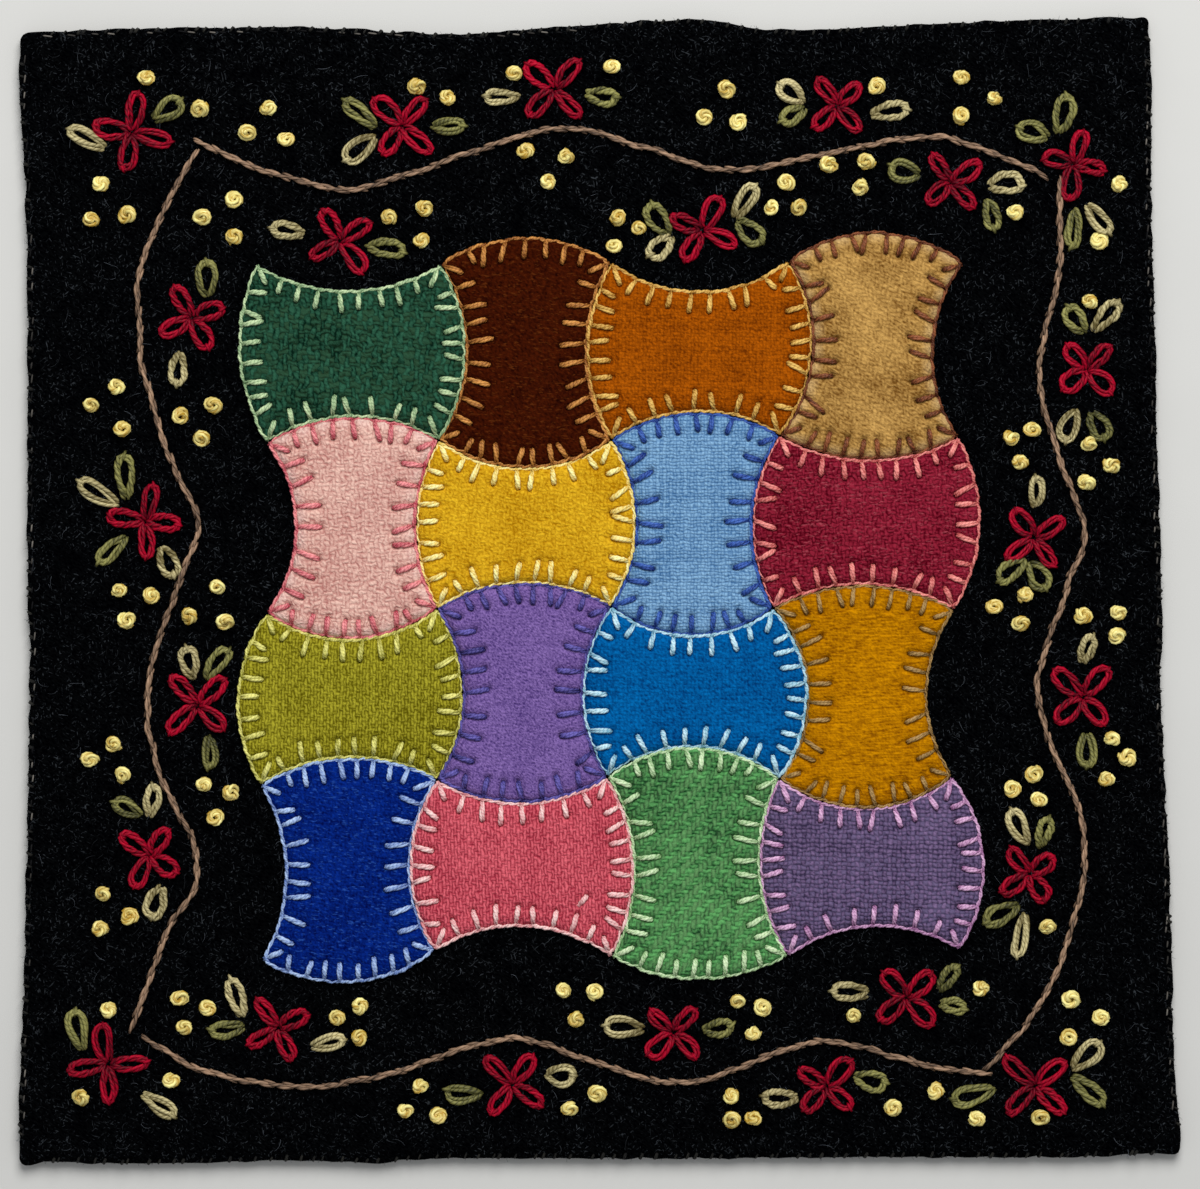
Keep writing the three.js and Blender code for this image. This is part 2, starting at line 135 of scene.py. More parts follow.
class Wire:  # a socket that adds Math nodes when it is reckoned with
    def __init__(self, socket):
        self.socket = socket

    def calc(self, operation, *values):
        node = self.socket.id_data.nodes.new("ShaderNodeMath")
        node.operation = operation
        for socket, value in zip(node.inputs, values):
            feed(socket, value)
        return Wire(node.outputs[0])

    def __rsub__(self, other):
        return self.calc("SUBTRACT", other, self)

    __add__ = __radd__ = sign("ADD")
    __sub__ = sign("SUBTRACT")
    __mul__ = __rmul__ = sign("MULTIPLY")
    __truediv__ = sign("DIVIDE")
    __mod__ = sign("FLOORED_MODULO")
    __lt__ = sign("LESS_THAN")
    __abs__ = sign("ABSOLUTE")
    floor = sign("FLOOR")


class Finish:  # a material and the nodes that make it
    def __init__(self, name, roughness, shine):
        self.material = bpy.data.materials.new(name)
        self.material.use_nodes = True
        self.tree = self.material.node_tree
        self.shader = self.tree.nodes["Principled BSDF"]
        self.shader.inputs["Roughness"].default_value = roughness
        self.shader.inputs["Specular IOR Level"].default_value = shine

    def node(self, kind, settings, inputs, *outputs):
        node = self.tree.nodes.new("ShaderNode" + kind)
        for key, value in settings.items():
            setattr(node, key, value)
        for socket, value in inputs.items():
            feed(node.inputs[socket], value)
        wires = [Wire(node.outputs[output]) for output in outputs]
        return wires[0] if len(wires) == 1 else wires

    def millimetres(self, turn=0.0):
        spot = self.node("TexCoord", {}, {}, "Object")
        sockets = {"Vector": spot, "Rotation": (0, 0, math.radians(turn)), "Scale": [1 / mm] * 3}
        return self.node("Mapping", {}, sockets, "Vector")

    def grain(self, spot, scale, detail):
        return self.node("TexNoise", {}, {"Vector": spot, "Scale": scale, "Detail": detail}, "Fac")

    def brushed(self, turn, stretch, scale, detail):  # grain drawn out along a bearing
        lie = self.node("VectorMath", {"operation": "MULTIPLY"}, {0: self.millimetres(turn), 1: stretch}, 0)
        return self.grain(lie, scale, detail)

    def eachStrand(self):  # a random number for each separate strand
        return self.node("NewGeometry", {}, {}, "Random Per Island")

    def mix(self, factor, a, b):
        return self.node("Mix", {"data_type": "RGBA"}, {0: factor, 6: a, 7: b}, 2)

    def clamp(self, value):
        return self.node("Clamp", {}, {"Value": value}, 0)

    def colour(self, value):
        feed(self.shader.inputs["Base Color"], value)

    def bump(self, height, depth, strength=1.0):
        sockets = {"Height": height, "Distance": depth * mm, "Strength": strength}
        feed(self.shader.inputs["Normal"], self.node("Bump", {}, sockets, "Normal"))


def rgb(red, green, blue):  # screen values to the shader's own
    shades = [shade / 255 for shade in (red, green, blue)]
    linear = [s / 12.92 if s <= 0.04045 else ((s + 0.055) / 1.055) ** 2.4 for s in shades]
    return (*linear, 1.0)


def addPiece(name, mesh, finish):
    mesh.materials.clear()
    mesh.materials.append(finish.material)
    mesh.polygons.foreach_set("use_smooth", [True] * len(mesh.polygons))
    piece = bpy.data.objects.new(name, mesh)
    bpy.context.scene.collection.objects.link(piece)
    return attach(piece, "root")


def lowerRing(bm, border):  # a new ring of edges drawn out from a border
    made = bmesh.ops.extrude_edge_only(bm, edges=border)["geom"]
    return [g for g in made if isinstance(g, bmesh.types.BMEdge) and g.is_boundary]


def clothMesh(name, bm):
    bmesh.ops.recalc_face_normals(bm, faces=bm.faces)
    mesh = bpy.data.meshes.new(name)
    bm.to_mesh(mesh)
    bm.free()
    return mesh


def threadMesh(name, strands, radius, sides=1):  # strands are runs of points with shares of the radius
    curve = bpy.data.curves.new(name, "CURVE")
    curve.dimensions = "3D"
    curve.bevel_depth = radius * mm
    curve.bevel_resolution = sides
    curve.use_fill_caps = True
    for points, widths in strands:
        spline = curve.splines.new("POLY")
        spline.points.add(len(points) - 1)
        spline.points.foreach_set("co", np.column_stack([toFrame(points), np.ones(len(points))]).ravel())
        spline.points.foreach_set("radius", np.broadcast_to(widths, len(points)).astype(float))
    holder = bpy.data.objects.new(name, curve)
    bpy.context.scene.collection.objects.link(holder)
    mesh = bpy.data.meshes.new_from_object(holder.evaluated_get(bpy.context.evaluated_depsgraph_get()))
    bpy.data.objects.remove(holder)
    bpy.data.curves.remove(curve)
    bm = bmesh.new()
    bm.from_mesh(mesh)
    bmesh.ops.remove_doubles(bm, verts=bm.verts, dist=1e-8)
    bm.to_mesh(mesh)
    bm.free()
    mesh.name = name
    return mesh


def twisted(path, turns, phase, reach, widths=1.0, flat=1.0, plies=2):  # plies wound round a path
    path = np.array(path, float)
    along = np.gradient(path, axis=0)
    level = along * (1, 1, 0)
    level /= np.linalg.norm(level, axis=1)[:, None] + tiny
    side = np.column_stack([level[:, 1], -level[:, 0], np.zeros(len(path))])
    lift = np.cross(side, along / (np.linalg.norm(along, axis=1)[:, None] + tiny))
    share = np.linspace(0, 1, len(path))
    made = []
    for strand in range(plies):
        angle = (phase + 2 * math.pi * (strand / plies + turns * share))[:, None]
        made.append((path + reach * (np.cos(angle) * side + flat * np.sin(angle) * lift), widths))
    return made


def wandering(strands, reach, rng):  # strands that don't lie quite true
    made = []
    stops = np.linspace(0, 1, 7)
    for points, widths in strands:
        share = np.linspace(0, 1, len(points))
        drift = [np.interp(share, stops, rng.normal(0, reach, len(stops))) for _ in range(3)]
        swell = 1 + np.interp(share, stops, rng.normal(0, 0.1, len(stops)))
        made.append((points + np.column_stack(drift), widths * swell))
    return made


# Finishes

weaving = {"waver": 1.6, "waverScale": 0.45, "float": 2, "fibre": 1.5, "mottleScale": 0.16, "holeShade": 0.3}


def woolFinish(name, wool):
    cloth = weaving | wool
    finish = Finish(name, 1.0, 0.03)
    spot = finish.millimetres(cloth["turn"])
    threads = finish.node("VectorMath", {"operation": "SCALE"}, {0: spot, "Scale": 1 / cloth["pitch"]}, 0)
    sockets = {"Vector": threads, "Scale": cloth["waverScale"], "Detail": 1.5}
    waver = finish.node("TexNoise", {}, sockets, "Color")
    sockets = {0: waver, 1: (cloth["waver"], cloth["waver"], 0), 2: threads}
    bent = finish.node("VectorMath", {"operation": "MULTIPLY_ADD"}, sockets, 0)
    u, v = finish.node("SeparateXYZ", {}, {"Vector": bent}, "X", "Y")
    column, row = u.floor(), v.floor()
    across, along = abs((u - column) * 2 - 1), abs((v - row) * 2 - 1)
    if cloth["weave"] == "tabby":  # each thread goes over one and under one
        over = (column + row) % 2
        up, level = along, across
    else:  # the others go over two and under two, each with its own step from column to column
        column4 = column % 4
        turned = 1 - (column4 < 2)
        steps = {"twill": (column, u), "broken": (column4 + turned * (5 - column4 * 2), None)}
        step, slide = steps[cloth["weave"]]
        half = cloth["float"] / 2  # half the length of an upright thread's float
        over = ((step + row) % 4) < 2 * half
        up = abs((step + v) % 4 - half) / half
        level = across * 0.7 if slide is None else abs((slide + row) % 4 - 3)
    uprights = (1 - across * across) * (1 - 0.5 * up * up)
    levels = (1 - along * along) * (1 - 0.5 * level * level)
    if "rows" in cloth:  # the level threads show the most
        uprights = uprights * (1 - cloth["rows"]) + (1 - along * along) * cloth["rows"]
    if "lead" in cloth:  # one set of threads stands higher than the other
        uprights, levels = uprights * cloth["lead"][0], levels * cloth["lead"][1]
    rise = over * uprights + (1 - over) * levels
    columnTone = finish.node("TexWhiteNoise", {"noise_dimensions": "1D"}, {"W": column}, "Value")
    rowTone = finish.node("TexWhiteNoise", {"noise_dimensions": "1D"}, {"W": row + 0.37}, "Value")
    tone = over * columnTone + (1 - over) * rowTone - 0.5
    mottle = finish.grain(spot, cloth["mottleScale"], 2.0)
    fuzz = finish.brushed(cloth["turn"] + 25, (1.0, 1.6, 1), cloth["fibre"], 3.0)
    fuzz = fuzz + finish.brushed(cloth["turn"] - 40, (1.6, 1.0, 1), cloth["fibre"] * 1.3, 3.0) - 1
    # the weave's rise is painted into the colour as well as the bump: painted shade where threads dip under
    # one another
    shade = (rise - 0.55) * cloth["reliefAndShade"] + tone * cloth["tone"] + fuzz * (cloth["fuzz"] * 1.9)
    shade = shade + (mottle - 0.5) * (cloth["mottle"] * 2) + 0.5
    if "streak" in cloth:  # fibres brushed one way: how strong, which way and how long
        strong, bearing, length = cloth["streak"]
        shade = shade + (finish.brushed(bearing, (1 / length, 2.4, 1), 1.4, 2.0) - 0.5) * strong
    colour = finish.mix(finish.clamp(shade), rgb(*cloth["deep"]), rgb(*cloth["light"]))
    if "second" in cloth:  # a second shade in the level threads
        amount = finish.clamp((1 - over) * cloth["secondShare"] * (0.4 + rowTone) * (0.35 + mottle * 1.3))
        colour = finish.mix(amount, colour, rgb(*cloth["second"]))
    if "fleck" in cloth:  # short paler fibres along the weave
        dashes = finish.brushed(cloth["turn"], (0.8, 2.4, 1), 1.8, 1.0)
        colour = finish.mix(finish.clamp((dashes - 0.6) * 9) * 0.7, colour, rgb(*cloth["fleck"]))
    sewn = finish.node("Attribute", {"attribute_name": "sewn"}, {}, "Fac")
    hole = rgb(*(part * cloth["holeShade"] for part in cloth["deep"]))
    colour = finish.mix(finish.clamp(sewn * -1.1 - 0.35), colour, hole)  # painted shade in each needle hole
    if "rim" in cloth:  # painted highlight where the cloth puffs up between the stitches along the cut edge, broken up by the fibre grain
        colour = finish.mix(finish.clamp(sewn) * finish.clamp(fuzz + 0.8) * 0.5, colour, rgb(*cloth["rim"]))
    finish.colour(colour)
    finish.bump(rise * cloth["reliefAndShade"] + fuzz * 1.2, 0.3, 0.55)
    return finish


# ends: how much lighter a stitch is painted in its middle and darker at its ends, as highlight and shade
def threadFinish(name, deep, light, twists, roughness=0.5, ends=1.7, shine=0.25):
    finish = Finish(name, roughness, shine)
    lie = finish.node("UVMap", {"uv_map": "UVMap"}, {}, "UV")
    along, around = finish.node("SeparateXYZ", {}, {"Vector": lie}, "X", "Y")
    ply = around * 2 + along * twists  # two plies to a strand
    groove = abs((ply % 1) * 2 - 1)
    groove = groove * groove * groove
    fibres = finish.node("CombineXYZ", {}, {"X": ply * 4, "Y": along * twists}, "Vector")
    floss = finish.grain(fibres, 1.0, 2.0)
    strand = finish.eachStrand()
    drift = finish.grain(finish.millimetres(), 0.5, 2.0)
    # the groove between plies is painted darker as shade, besides its bump
    shade = (floss - 0.5) * 1.3 - groove * 0.5 + (strand - 0.5) * 0.6 + (drift - 0.5) * 0.5
    shade = shade + along * (1 - along) * ends + (0.68 - ends / 4)  # painted highlight along the middle of a stitch and painted shade towards its ends
    finish.colour(finish.mix(finish.clamp(shade), rgb(*deep), rgb(*light)))
    finish.bump(floss * 0.6 - groove * 0.45, 0.12, 0.7)
    return finish


# The ground

ground = {
    "half": 84.0, "cells": 150, "rim": (0, 0.18, 0.45, 0.85, 1.4, 2.2), "corner": 1.3, "roll": 1.3,
    "side": 1.45, "wave": (0.1, 0.03), "ripple": (0.07, 0.16),  # height and closeness
    "dip": 0.2, "dipWidth": 0.35, "pucker": 0.35, "turnedUnder": 5.0,
    "lowerRings": [(0.0, 1.0), (0.25, 0.45), (0.8, 0.1), (1.3, 0.0)],  # inwards and height
    "bottom": [(-84.3, -83.5), (-78.3, -83.1), (-68, -83.4), (-45.6, -82.9), (-32, -83.2), (-23, -82.6),
               (12, -82.6), (38, -82.4), (67, -82.4), (78.5, -82.0), (84.6, -82.0)],
    "right": [(84.6, -82.0), (84.5, -77.5), (83.6, -69), (83.1, -45), (82.3, -28), (81.7, -13), (81.9, -3),
              (81.2, 19), (80.8, 40), (80.3, 57), (80.3, 74), (79.9, 83.6)],
    "top": [(-84.1, 81.2), (-72.5, 81.7), (-52, 82.1), (-37.7, 81.9), (-21, 81.1), (-7.9, 81.9), (13.1, 83.2),
            (26.2, 81.6), (43.6, 82.3), (59.6, 83.0), (77, 83.5), (79.9, 83.6)],
    "left": [(-84.3, -83.5), (-84.5, -77), (-83.7, -54), (-83.2, -30), (-82.9, -8), (-83.3, 0), (-83.2, 30.6),
             (-83.5, 56.8), (-84.4, 72.7), (-84.1, 81.2)],
}
hemming = {
    "run": 164, "pitch": 2.4, "strand": 0.11, "in": 0.75,
    "above": (2.72, -0.3, 0.0), "below": (0.14, 0.2, 1.2),  # height, how far the ends sink, shift along
    "overRun": 162, "overPitch": 2.0, "overStrand": 0.2, "overDeep": (0.55, 0.85), "seed": 9,
}
hemSides = {"bottom": (0, 1), "right": (-1, 0), "top": (0, -1), "left": (1, 0)}  # the way in from each edge
groundEdges = {side: smoothPath(ground[side], 1.0) for side in hemSides}


def alongEdge(side, share):  # a point a share of the way along one edge of the hem
    return pathAt(groundEdges[side], share)


def groundSpot(u, v):
    sides = alongEdge("bottom", u), alongEdge("right", v), alongEdge("top", u), alongEdge("left", v)
    corners = [groundEdges[side][end] for side in ("bottom", "top") for end in (0, -1)]
    return fourSided(u, v, *sides, corners)


def groundRise(x, y):  # the cloth lies nearly flat
    (waveHeight, waveScale), (rippleHeight, rippleScale) = ground["wave"], ground["ripple"]
    wave, ripple = lumps(x, y, waveScale, 4.0), lumps(x, y, rippleScale, 9.0)
    return rug["top"] + waveHeight * wave + rippleHeight * ripple


def makeGround():
    half, rim = ground["half"], list(ground["rim"])
    inner = np.linspace(rim[-1], 2 * half - rim[-1], ground["cells"] - 2 * len(rim) + 3)[1:-1]
    lines = np.array(rim + list(inner) + [2 * half - d for d in reversed(rim)])  # closer along the hem
    count = len(lines) - 1
    bm = bmesh.new()
    bmesh.ops.create_grid(bm, x_segments=count, y_segments=count, size=0.5)
    index = ((np.array([v.co.xy for v in bm.verts]) + 0.5) * count).round().astype(int)
    place = lines[index] - half
    edge = half - np.abs(place).max(1)
    place = np.sign(place) * (half - roundCorners(half - np.abs(place), ground["corner"]))
    shares = (place + half) / (2 * half)
    spots = groundSpot(shares[:, 0], shares[:, 1])
    fall = np.sqrt(1 - (1 - np.clip(edge / ground["roll"], 0, 1)) ** 2)
    dip = ground["dip"] * np.exp(-(((edge - hemming["in"]) / ground["dipWidth"]) ** 2))  # hem stitches pull
    puckers = np.array([lumps(x, y, 0.4, 7.0) for x, y in spots]) * ground["pucker"]
    drawn = np.clip(1 - edge / ground["roll"], 0, 1) * puckers
    spots = spots - np.sign(place) * (np.abs(place) > half - ground["roll"]) * drawn[:, None]
    for vert, (x, y), f, d in zip(bm.verts, spots, fall, dip):
        z = ground["side"] + (groundRise(x, y) - ground["side"]) * f - d
        vert.co = toFrame((x, y, z))
    border = [e for e in bm.edges if e.is_boundary]
    for inwards, height in ground["lowerRings"]:
        border = lowerRing(bm, border)
        for vert in {v for e in border for v in e.verts}:
            vert.co.xy *= 1 - 0.5 * inwards / half
            vert.co.z = height * mm
    bmesh.ops.contextual_create(bm, geom=border)
    return clothMesh("groundCloth", bm)


def groundWool():  # black felt with a fine nap, and short grey specks painted on as highlights on single fibres
    finish = Finish("black felted wool", 1.0, 0.01)
    fibre = finish.brushed(30, (1, 2.4, 1), 1.5, 3.0)
    cross = finish.brushed(-50, (2.4, 1, 1), 1.7, 3.0)
    mottle = finish.grain(finish.millimetres(), 0.3, 2.0)
    nap = finish.clamp((fibre + cross - 1) * 2.2 + (mottle - 0.5) * 0.8 + 0.35)
    colour = finish.mix(nap, rgb(0, 0, 1), rgb(6, 7, 8))
    # painted highlights: short pale dashes where single fibres catch the light
    fibreGlints = 0
    for way in (20, 80, -40):
        dashes = finish.brushed(way, (0.7, 2.6, 1), 1.7, 1.0)
        fibreGlints = fibreGlints + finish.clamp((dashes - 0.67) * 10)
    fibreGlints = finish.clamp(fibreGlints) * finish.clamp(mottle * 3 - 0.9) * 0.9
    finish.colour(finish.mix(fibreGlints, colour, rgb(56, 60, 64)))
    finish.bump(fibre + cross, 0.35, 0.6)
    return finish


groundCloth = addPiece("groundCloth", makeGround(), groundWool())
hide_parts("ground")
print("ground laid", len(groundCloth.data.polygons))


# The patches and their blanket stitches

seams = {
    "corners": [
        [(-49.9, 47.6), (-23.1, 47.5), (1.7, 47.8), (27.4, 48.0), (53.0, 47.5)],
        [(-48.4, 21.5), (-23.4, 21.9), (1.7, 21.9), (26.1, 22.6), (52.3, 22.4)],
        [(-48.4, -3.2), (-23.6, -2.5), (1.7, -2.3), (25.2, -2.5), (51.6, -2.8)],
        [(-49.3, -28.2), (-23.6, -27.4), (1.1, -27.0), (26.1, -27.3), (51.3, -26.9)],
        [(-49.1, -53.6), (-23.9, -52.3), (1.7, -53.3), (27.4, -53.1), (52.3, -52.2)],
    ],
    "rowBulge": [
        (3.9, 3.8, 4.4, 4.5), (3.6, 4.1, 3.8, 3.5), (4.2, 3.6, 4.1, 3.6), (3.6, 3.6, 4.5, 4.5),
        (4.1, 4.1, 3.3, 3.9),
    ],
    "columnBulge": [
        (3.3, 4.2, 3.8, 3.6), (3.9, 3.2, 3.8, 3.9), (3.6, 3.6, 3.9, 3.6), (4.2, 3.5, 4.6, 3.5),
        (4.2, 3.5, 3.9, 4.1),
    ],
}

wools = [  # a row for each patch: its cloth, then the thread it is sewn with; rim is the colour of the painted highlight on the puffs between stitches
    {"name": "green", "deep": (4, 28, 18), "light": (44, 90, 68), "second": (38, 56, 34), "secondShare": 0.42,
     "weave": "broken", "pitch": 0.76, "turn": 2, "reliefAndShade": 0.75, "tone": 0.4, "fuzz": 0.7, "mottle": 0.42,
     "waver": 2.2, "thread": (110, 142, 100), "threadLight": (206, 226, 176)},
    {"name": "brown", "deep": (26, 2, 0), "light": (70, 22, 3), "fleck": (90, 42, 12), "weave": "tabby",
     "pitch": 0.55, "turn": 4, "reliefAndShade": 0.1, "tone": 0.1, "fuzz": 0.75, "mottle": 0.25,
     "thread": (112, 58, 12), "threadLight": (216, 150, 74)},
    {"name": "rust", "deep": (104, 44, 0), "light": (178, 89, 5), "weave": "tabby", "pitch": 0.5, "turn": 1,
     "reliefAndShade": 0.4, "tone": 0.25, "fuzz": 0.65, "mottle": 0.3, "lead": (1, 0.85),
     "thread": (154, 102, 22), "threadLight": (240, 198, 106)},
    {"name": "tan", "deep": (108, 70, 24), "light": (200, 156, 86), "weave": "twill", "pitch": 0.6, "turn": 6,
     "reliefAndShade": 0.35, "tone": 0.15, "fuzz": 0.5, "mottle": 0.5, "fibre": 1.7, "streak": (1.1, 32, 2.4),
     "thread": (62, 24, 6), "threadLight": (150, 86, 50), "rim": (226, 196, 144), "size": 0.92},
    {"name": "pink", "deep": (178, 116, 108), "light": (234, 192, 176), "weave": "broken", "pitch": 0.66,
     "turn": -2, "reliefAndShade": 0.6, "tone": 0.2, "fuzz": 0.6, "mottle": 0.35, "waver": 2.2,
     "thread": (166, 52, 70), "threadLight": (246, 156, 156), "rim": (240, 212, 204)},
    {"name": "yellow", "deep": (162, 108, 0), "light": (228, 180, 36), "weave": "broken", "pitch": 0.56,
     "turn": 3, "reliefAndShade": 0.4, "tone": 0.2, "fuzz": 0.6, "mottle": 0.35, "waver": 2.2,
     "thread": (222, 182, 72), "threadLight": (255, 250, 176)},
    {"name": "sky", "deep": (58, 101, 148), "light": (134, 176, 211), "weave": "tabby", "pitch": 0.5,
     "turn": 0, "reliefAndShade": 0.8, "tone": 0.35, "fuzz": 0.5, "mottle": 0.25, "rows": 0.3, "lead": (0.85, 1),
     "waver": 1.4, "thread": (10, 34, 106), "threadLight": (66, 106, 188)},
    {"name": "crimson", "deep": (78, 0, 16), "light": (144, 34, 54), "fleck": (158, 70, 80),
     "weave": "broken", "pitch": 0.58, "turn": -3, "reliefAndShade": 0.75, "tone": 0.3, "fuzz": 0.75, "mottle": 0.45,
     "waver": 2.2, "thread": (170, 64, 64), "threadLight": (250, 158, 148)},
    {"name": "lime", "deep": (92, 84, 4), "light": (168, 160, 44), "weave": "broken", "float": 3,
     "pitch": 0.47, "turn": 1, "reliefAndShade": 0.85, "tone": 0.3, "fuzz": 0.65, "mottle": 0.3, "lead": (1, 0.8),
     "waver": 1.4, "thread": (150, 146, 46), "threadLight": (240, 234, 138)},
    {"name": "purple", "deep": (68, 47, 109), "light": (140, 111, 177), "weave": "tabby", "pitch": 0.5,
     "turn": 5, "reliefAndShade": 0.15, "tone": 0.1, "fuzz": 0.9, "mottle": 0.2, "fibre": 2.2,
     "thread": (34, 30, 88), "threadLight": (108, 98, 180)},
    {"name": "blue", "deep": (0, 48, 102), "light": (2, 104, 173), "weave": "tabby", "pitch": 0.55, "turn": 0,
     "reliefAndShade": 0.3, "tone": 0.2, "fuzz": 0.75, "mottle": 0.3,
     "thread": (100, 158, 182), "threadLight": (212, 242, 250)},
    {"name": "mustard", "deep": (126, 72, 0), "light": (204, 136, 2), "weave": "tabby", "pitch": 0.5,
     "turn": 2, "reliefAndShade": 0.15, "tone": 0.1, "fuzz": 0.5, "mottle": 0.25, "streak": (1.8, -3, 2.4),
     "thread": (96, 68, 26), "threadLight": (184, 148, 90), "size": 0.82},
    {"name": "royal", "deep": (0, 8, 70), "light": (6, 42, 134), "fleck": (38, 78, 160), "weave": "tabby",
     "pitch": 0.5, "turn": 6, "reliefAndShade": 0.3, "tone": 0.15, "fuzz": 0.75, "mottle": 0.3,
     "thread": (88, 114, 174), "threadLight": (186, 210, 244)},
    {"name": "rose", "deep": (150, 38, 56), "light": (224, 102, 114), "weave": "broken", "float": 3,
     "pitch": 0.48, "turn": -2, "reliefAndShade": 0.95, "tone": 0.3, "fuzz": 0.55, "mottle": 0.25, "lead": (1, 0.75),
     "waver": 1.4, "thread": (210, 130, 134), "threadLight": (255, 222, 216)},
    {"name": "leaf", "deep": (24, 62, 33), "light": (98, 168, 97), "second": (92, 116, 80),
     "secondShare": 0.32, "weave": "twill", "pitch": 0.62, "turn": 92, "reliefAndShade": 0.6, "tone": 0.45,
     "fuzz": 0.6, "mottle": 0.38, "waver": 1.4, "thread": (124, 166, 106), "threadLight": (220, 240, 196)},
    {"name": "mauve", "deep": (48, 38, 64), "light": (124, 102, 140), "second": (80, 76, 106),
     "secondShare": 0.4, "weave": "tabby", "pitch": 0.66, "turn": 1, "reliefAndShade": 0.9, "tone": 0.35, "fuzz": 0.6,
     "mottle": 0.25, "rows": 0.3, "lead": (0.85, 1), "waver": 1.4,
     "thread": (148, 94, 140), "threadLight": (230, 186, 220)},
]

patching = {
    "cells": 76, "inset": 0.010, "corner": 0.012, "outerCorner": 0.045, "edgeHeight": 3.4, "lowest": 3.15,
    "rimGap": 0.3, "roundOff": 1.6, "bite": 0.45, "biteWidth": 0.55, "hole": 0.45, "holeWidth": 0.42,
    "draw": 0.2, "drawWidth": 0.7, "puffHighlight": 1.6,
    "lump": (0.1, 0.11), "grain": (0.06, 0.6),  # height and closeness
}
spokes = {
    "pitch": 2.75, "cornerGap": 4.35, "jitter": 0.22, "lean": 0.16, "start": 0.68, "startVary": 0.25,
    "ends": (2.95, 3.25, 3.6), "endVary": 0.35, "endShort": 0.45, "cornerStart": 1.4, "cornerEnd": (3.1, 3.7),
    "cornerAims": ((0.12, 0.12), (0.88, 0.12), (0.88, 0.88), (0.12, 0.88)), "seed": 21,
}
stitching = {
    "strand": 0.22, "reach": 0.2, "flat": 0.6, "plies": 3, "twists": 8,
    "sunk": (-0.25, -0.5, -0.38, -0.02, 0.14, 0.0, -0.3, -0.7),  # from the rim to the needle hole
    "taper": (0.5, 0.6, 0.75, 0.9, 1.03, 1.1, 1.08, 0.88, 0.5), "edgeStrand": 0.18, "edgeReach": 0.16,
    "edgeTwist": 2.6, "edgeInset": 0.28, "edgeBow": 0.16, "edgeDrop": 0.26,
}
strayStitch = (np.array((-3.3, -46.0)), np.array((0.64, 0.77)), 0.8, 2.2)  # out in the rose patch


def arcAt(a, b, bulge, share):  # points along a round arc from a to b
    a, b = np.array(a), np.array(b)
    chord = b - a
    half = np.linalg.norm(chord) / 2
    radius = (half**2 + bulge**2) / (2 * abs(bulge))
    opening = math.asin(half / radius)
    along = chord / (2 * half)
    right = np.array((along[1], -along[0])) * np.sign(bulge)
    angle = opening * (2 * np.asarray(share) - 1)
    forward = half + radius * np.sin(angle)
    rise = radius * (np.cos(angle) - math.cos(opening))
    return a + forward[..., None] * along + rise[..., None] * right


class Patch:  # the place of one apple-core patch, by shares across and up it
    def __init__(self, row, column):
        corners = seams["corners"]
        low, lowRight = corners[row + 1][column], corners[row + 1][column + 1]
        top, topRight = corners[row][column], corners[row][column + 1]
        way = 1 if (row + column) % 2 == 0 else -1
        outer = np.array([[i % 4 == 0 or j % 4 == 0 for j in (row + 1, row)] for i in (column, column + 1)])
        self.rounding = np.where(outer, patching["outerCorner"], patching["corner"])  # by right and by top
        self.corners = [np.array(c) for c in (low, lowRight, top, topRight)]
        self.shared = [row < 3, column < 3, row > 0, column > 0]  # sides that meet another patch
        self.sides = [  # anticlockwise, each with how far it bulges out
            (low, lowRight, -way * seams["rowBulge"][row + 1][column]),
            (lowRight, topRight, way * seams["columnBulge"][column + 1][row]),
            (topRight, top, -way * seams["rowBulge"][row][column]),
            (top, low, way * seams["columnBulge"][column][row]),
        ]

    def spot(self, u, v):
        u, v = np.asarray(u, float), np.asarray(v, float)
        bottom, right = arcAt(*self.sides[0], u), arcAt(*self.sides[1], v)
        top, left = arcAt(*self.sides[2], 1 - u), arcAt(*self.sides[3], 1 - v)
        return fourSided(u, v, bottom, right, top, left, self.corners)

    def rounded(self, u, v):  # the same, with the corners rounded off
        far = np.stack([np.asarray(u, float), np.asarray(v, float)], -1) - 0.5
        radius = self.rounding[(far[..., 0] > 0).astype(int), (far[..., 1] > 0).astype(int)]
        inset = roundCorners(0.5 - np.abs(far), radius)
        u, v = np.moveaxis(0.5 + np.sign(far) * (0.5 - inset), -1, 0)
        return self.spot(u, v)

    def rim(self, side, share, inset):  # a run just inside one side, by shares along it
        ways = [(share, inset), (1 - inset, share), (1 - share, 1 - inset), (inset, 1 - share)]
        return self.rounded(*np.broadcast_arrays(*ways[side]))

    def edge(self, side, share):  # a point on one side and the way in from it
        here, back, on = (arcAt(*self.sides[side], share + d) for d in (0, -0.005, 0.005))
        along = (on - back) / np.linalg.norm(on - back, axis=-1)[..., None]
        return here, np.stack([-along[..., 1], along[..., 0]], -1)

    def length(self, side):
        return pathLength(arcAt(*self.sides[side], np.linspace(0, 1, 40)))

    def near(self, spots):  # how far inside the nearest side
        found = []
        for a, b, bulge in self.sides:
            a, b = np.array(a), np.array(b)
            half = np.linalg.norm(b - a) / 2
            radius = (half**2 + bulge**2) / (2 * abs(bulge))
            out = np.array(((b - a)[1], -(b - a)[0])) / (2 * half)
            middle = (a + b) / 2 - np.sign(bulge) * out * (radius - abs(bulge))
            found.append(np.sign(bulge) * (radius - np.linalg.norm(spots - middle, axis=-1)))
        return np.min(found, axis=0)

    def rise(self, spots):  # the cloth's height, rounded off along its edges
        into = np.clip((self.near(np.asarray(spots)) - patching["rimGap"]) / patching["roundOff"], 0, 1)
        dome = (rug["patch"] - patching["edgeHeight"]) * np.sqrt(1 - (1 - into) ** 2)
        return patching["edgeHeight"] + dome


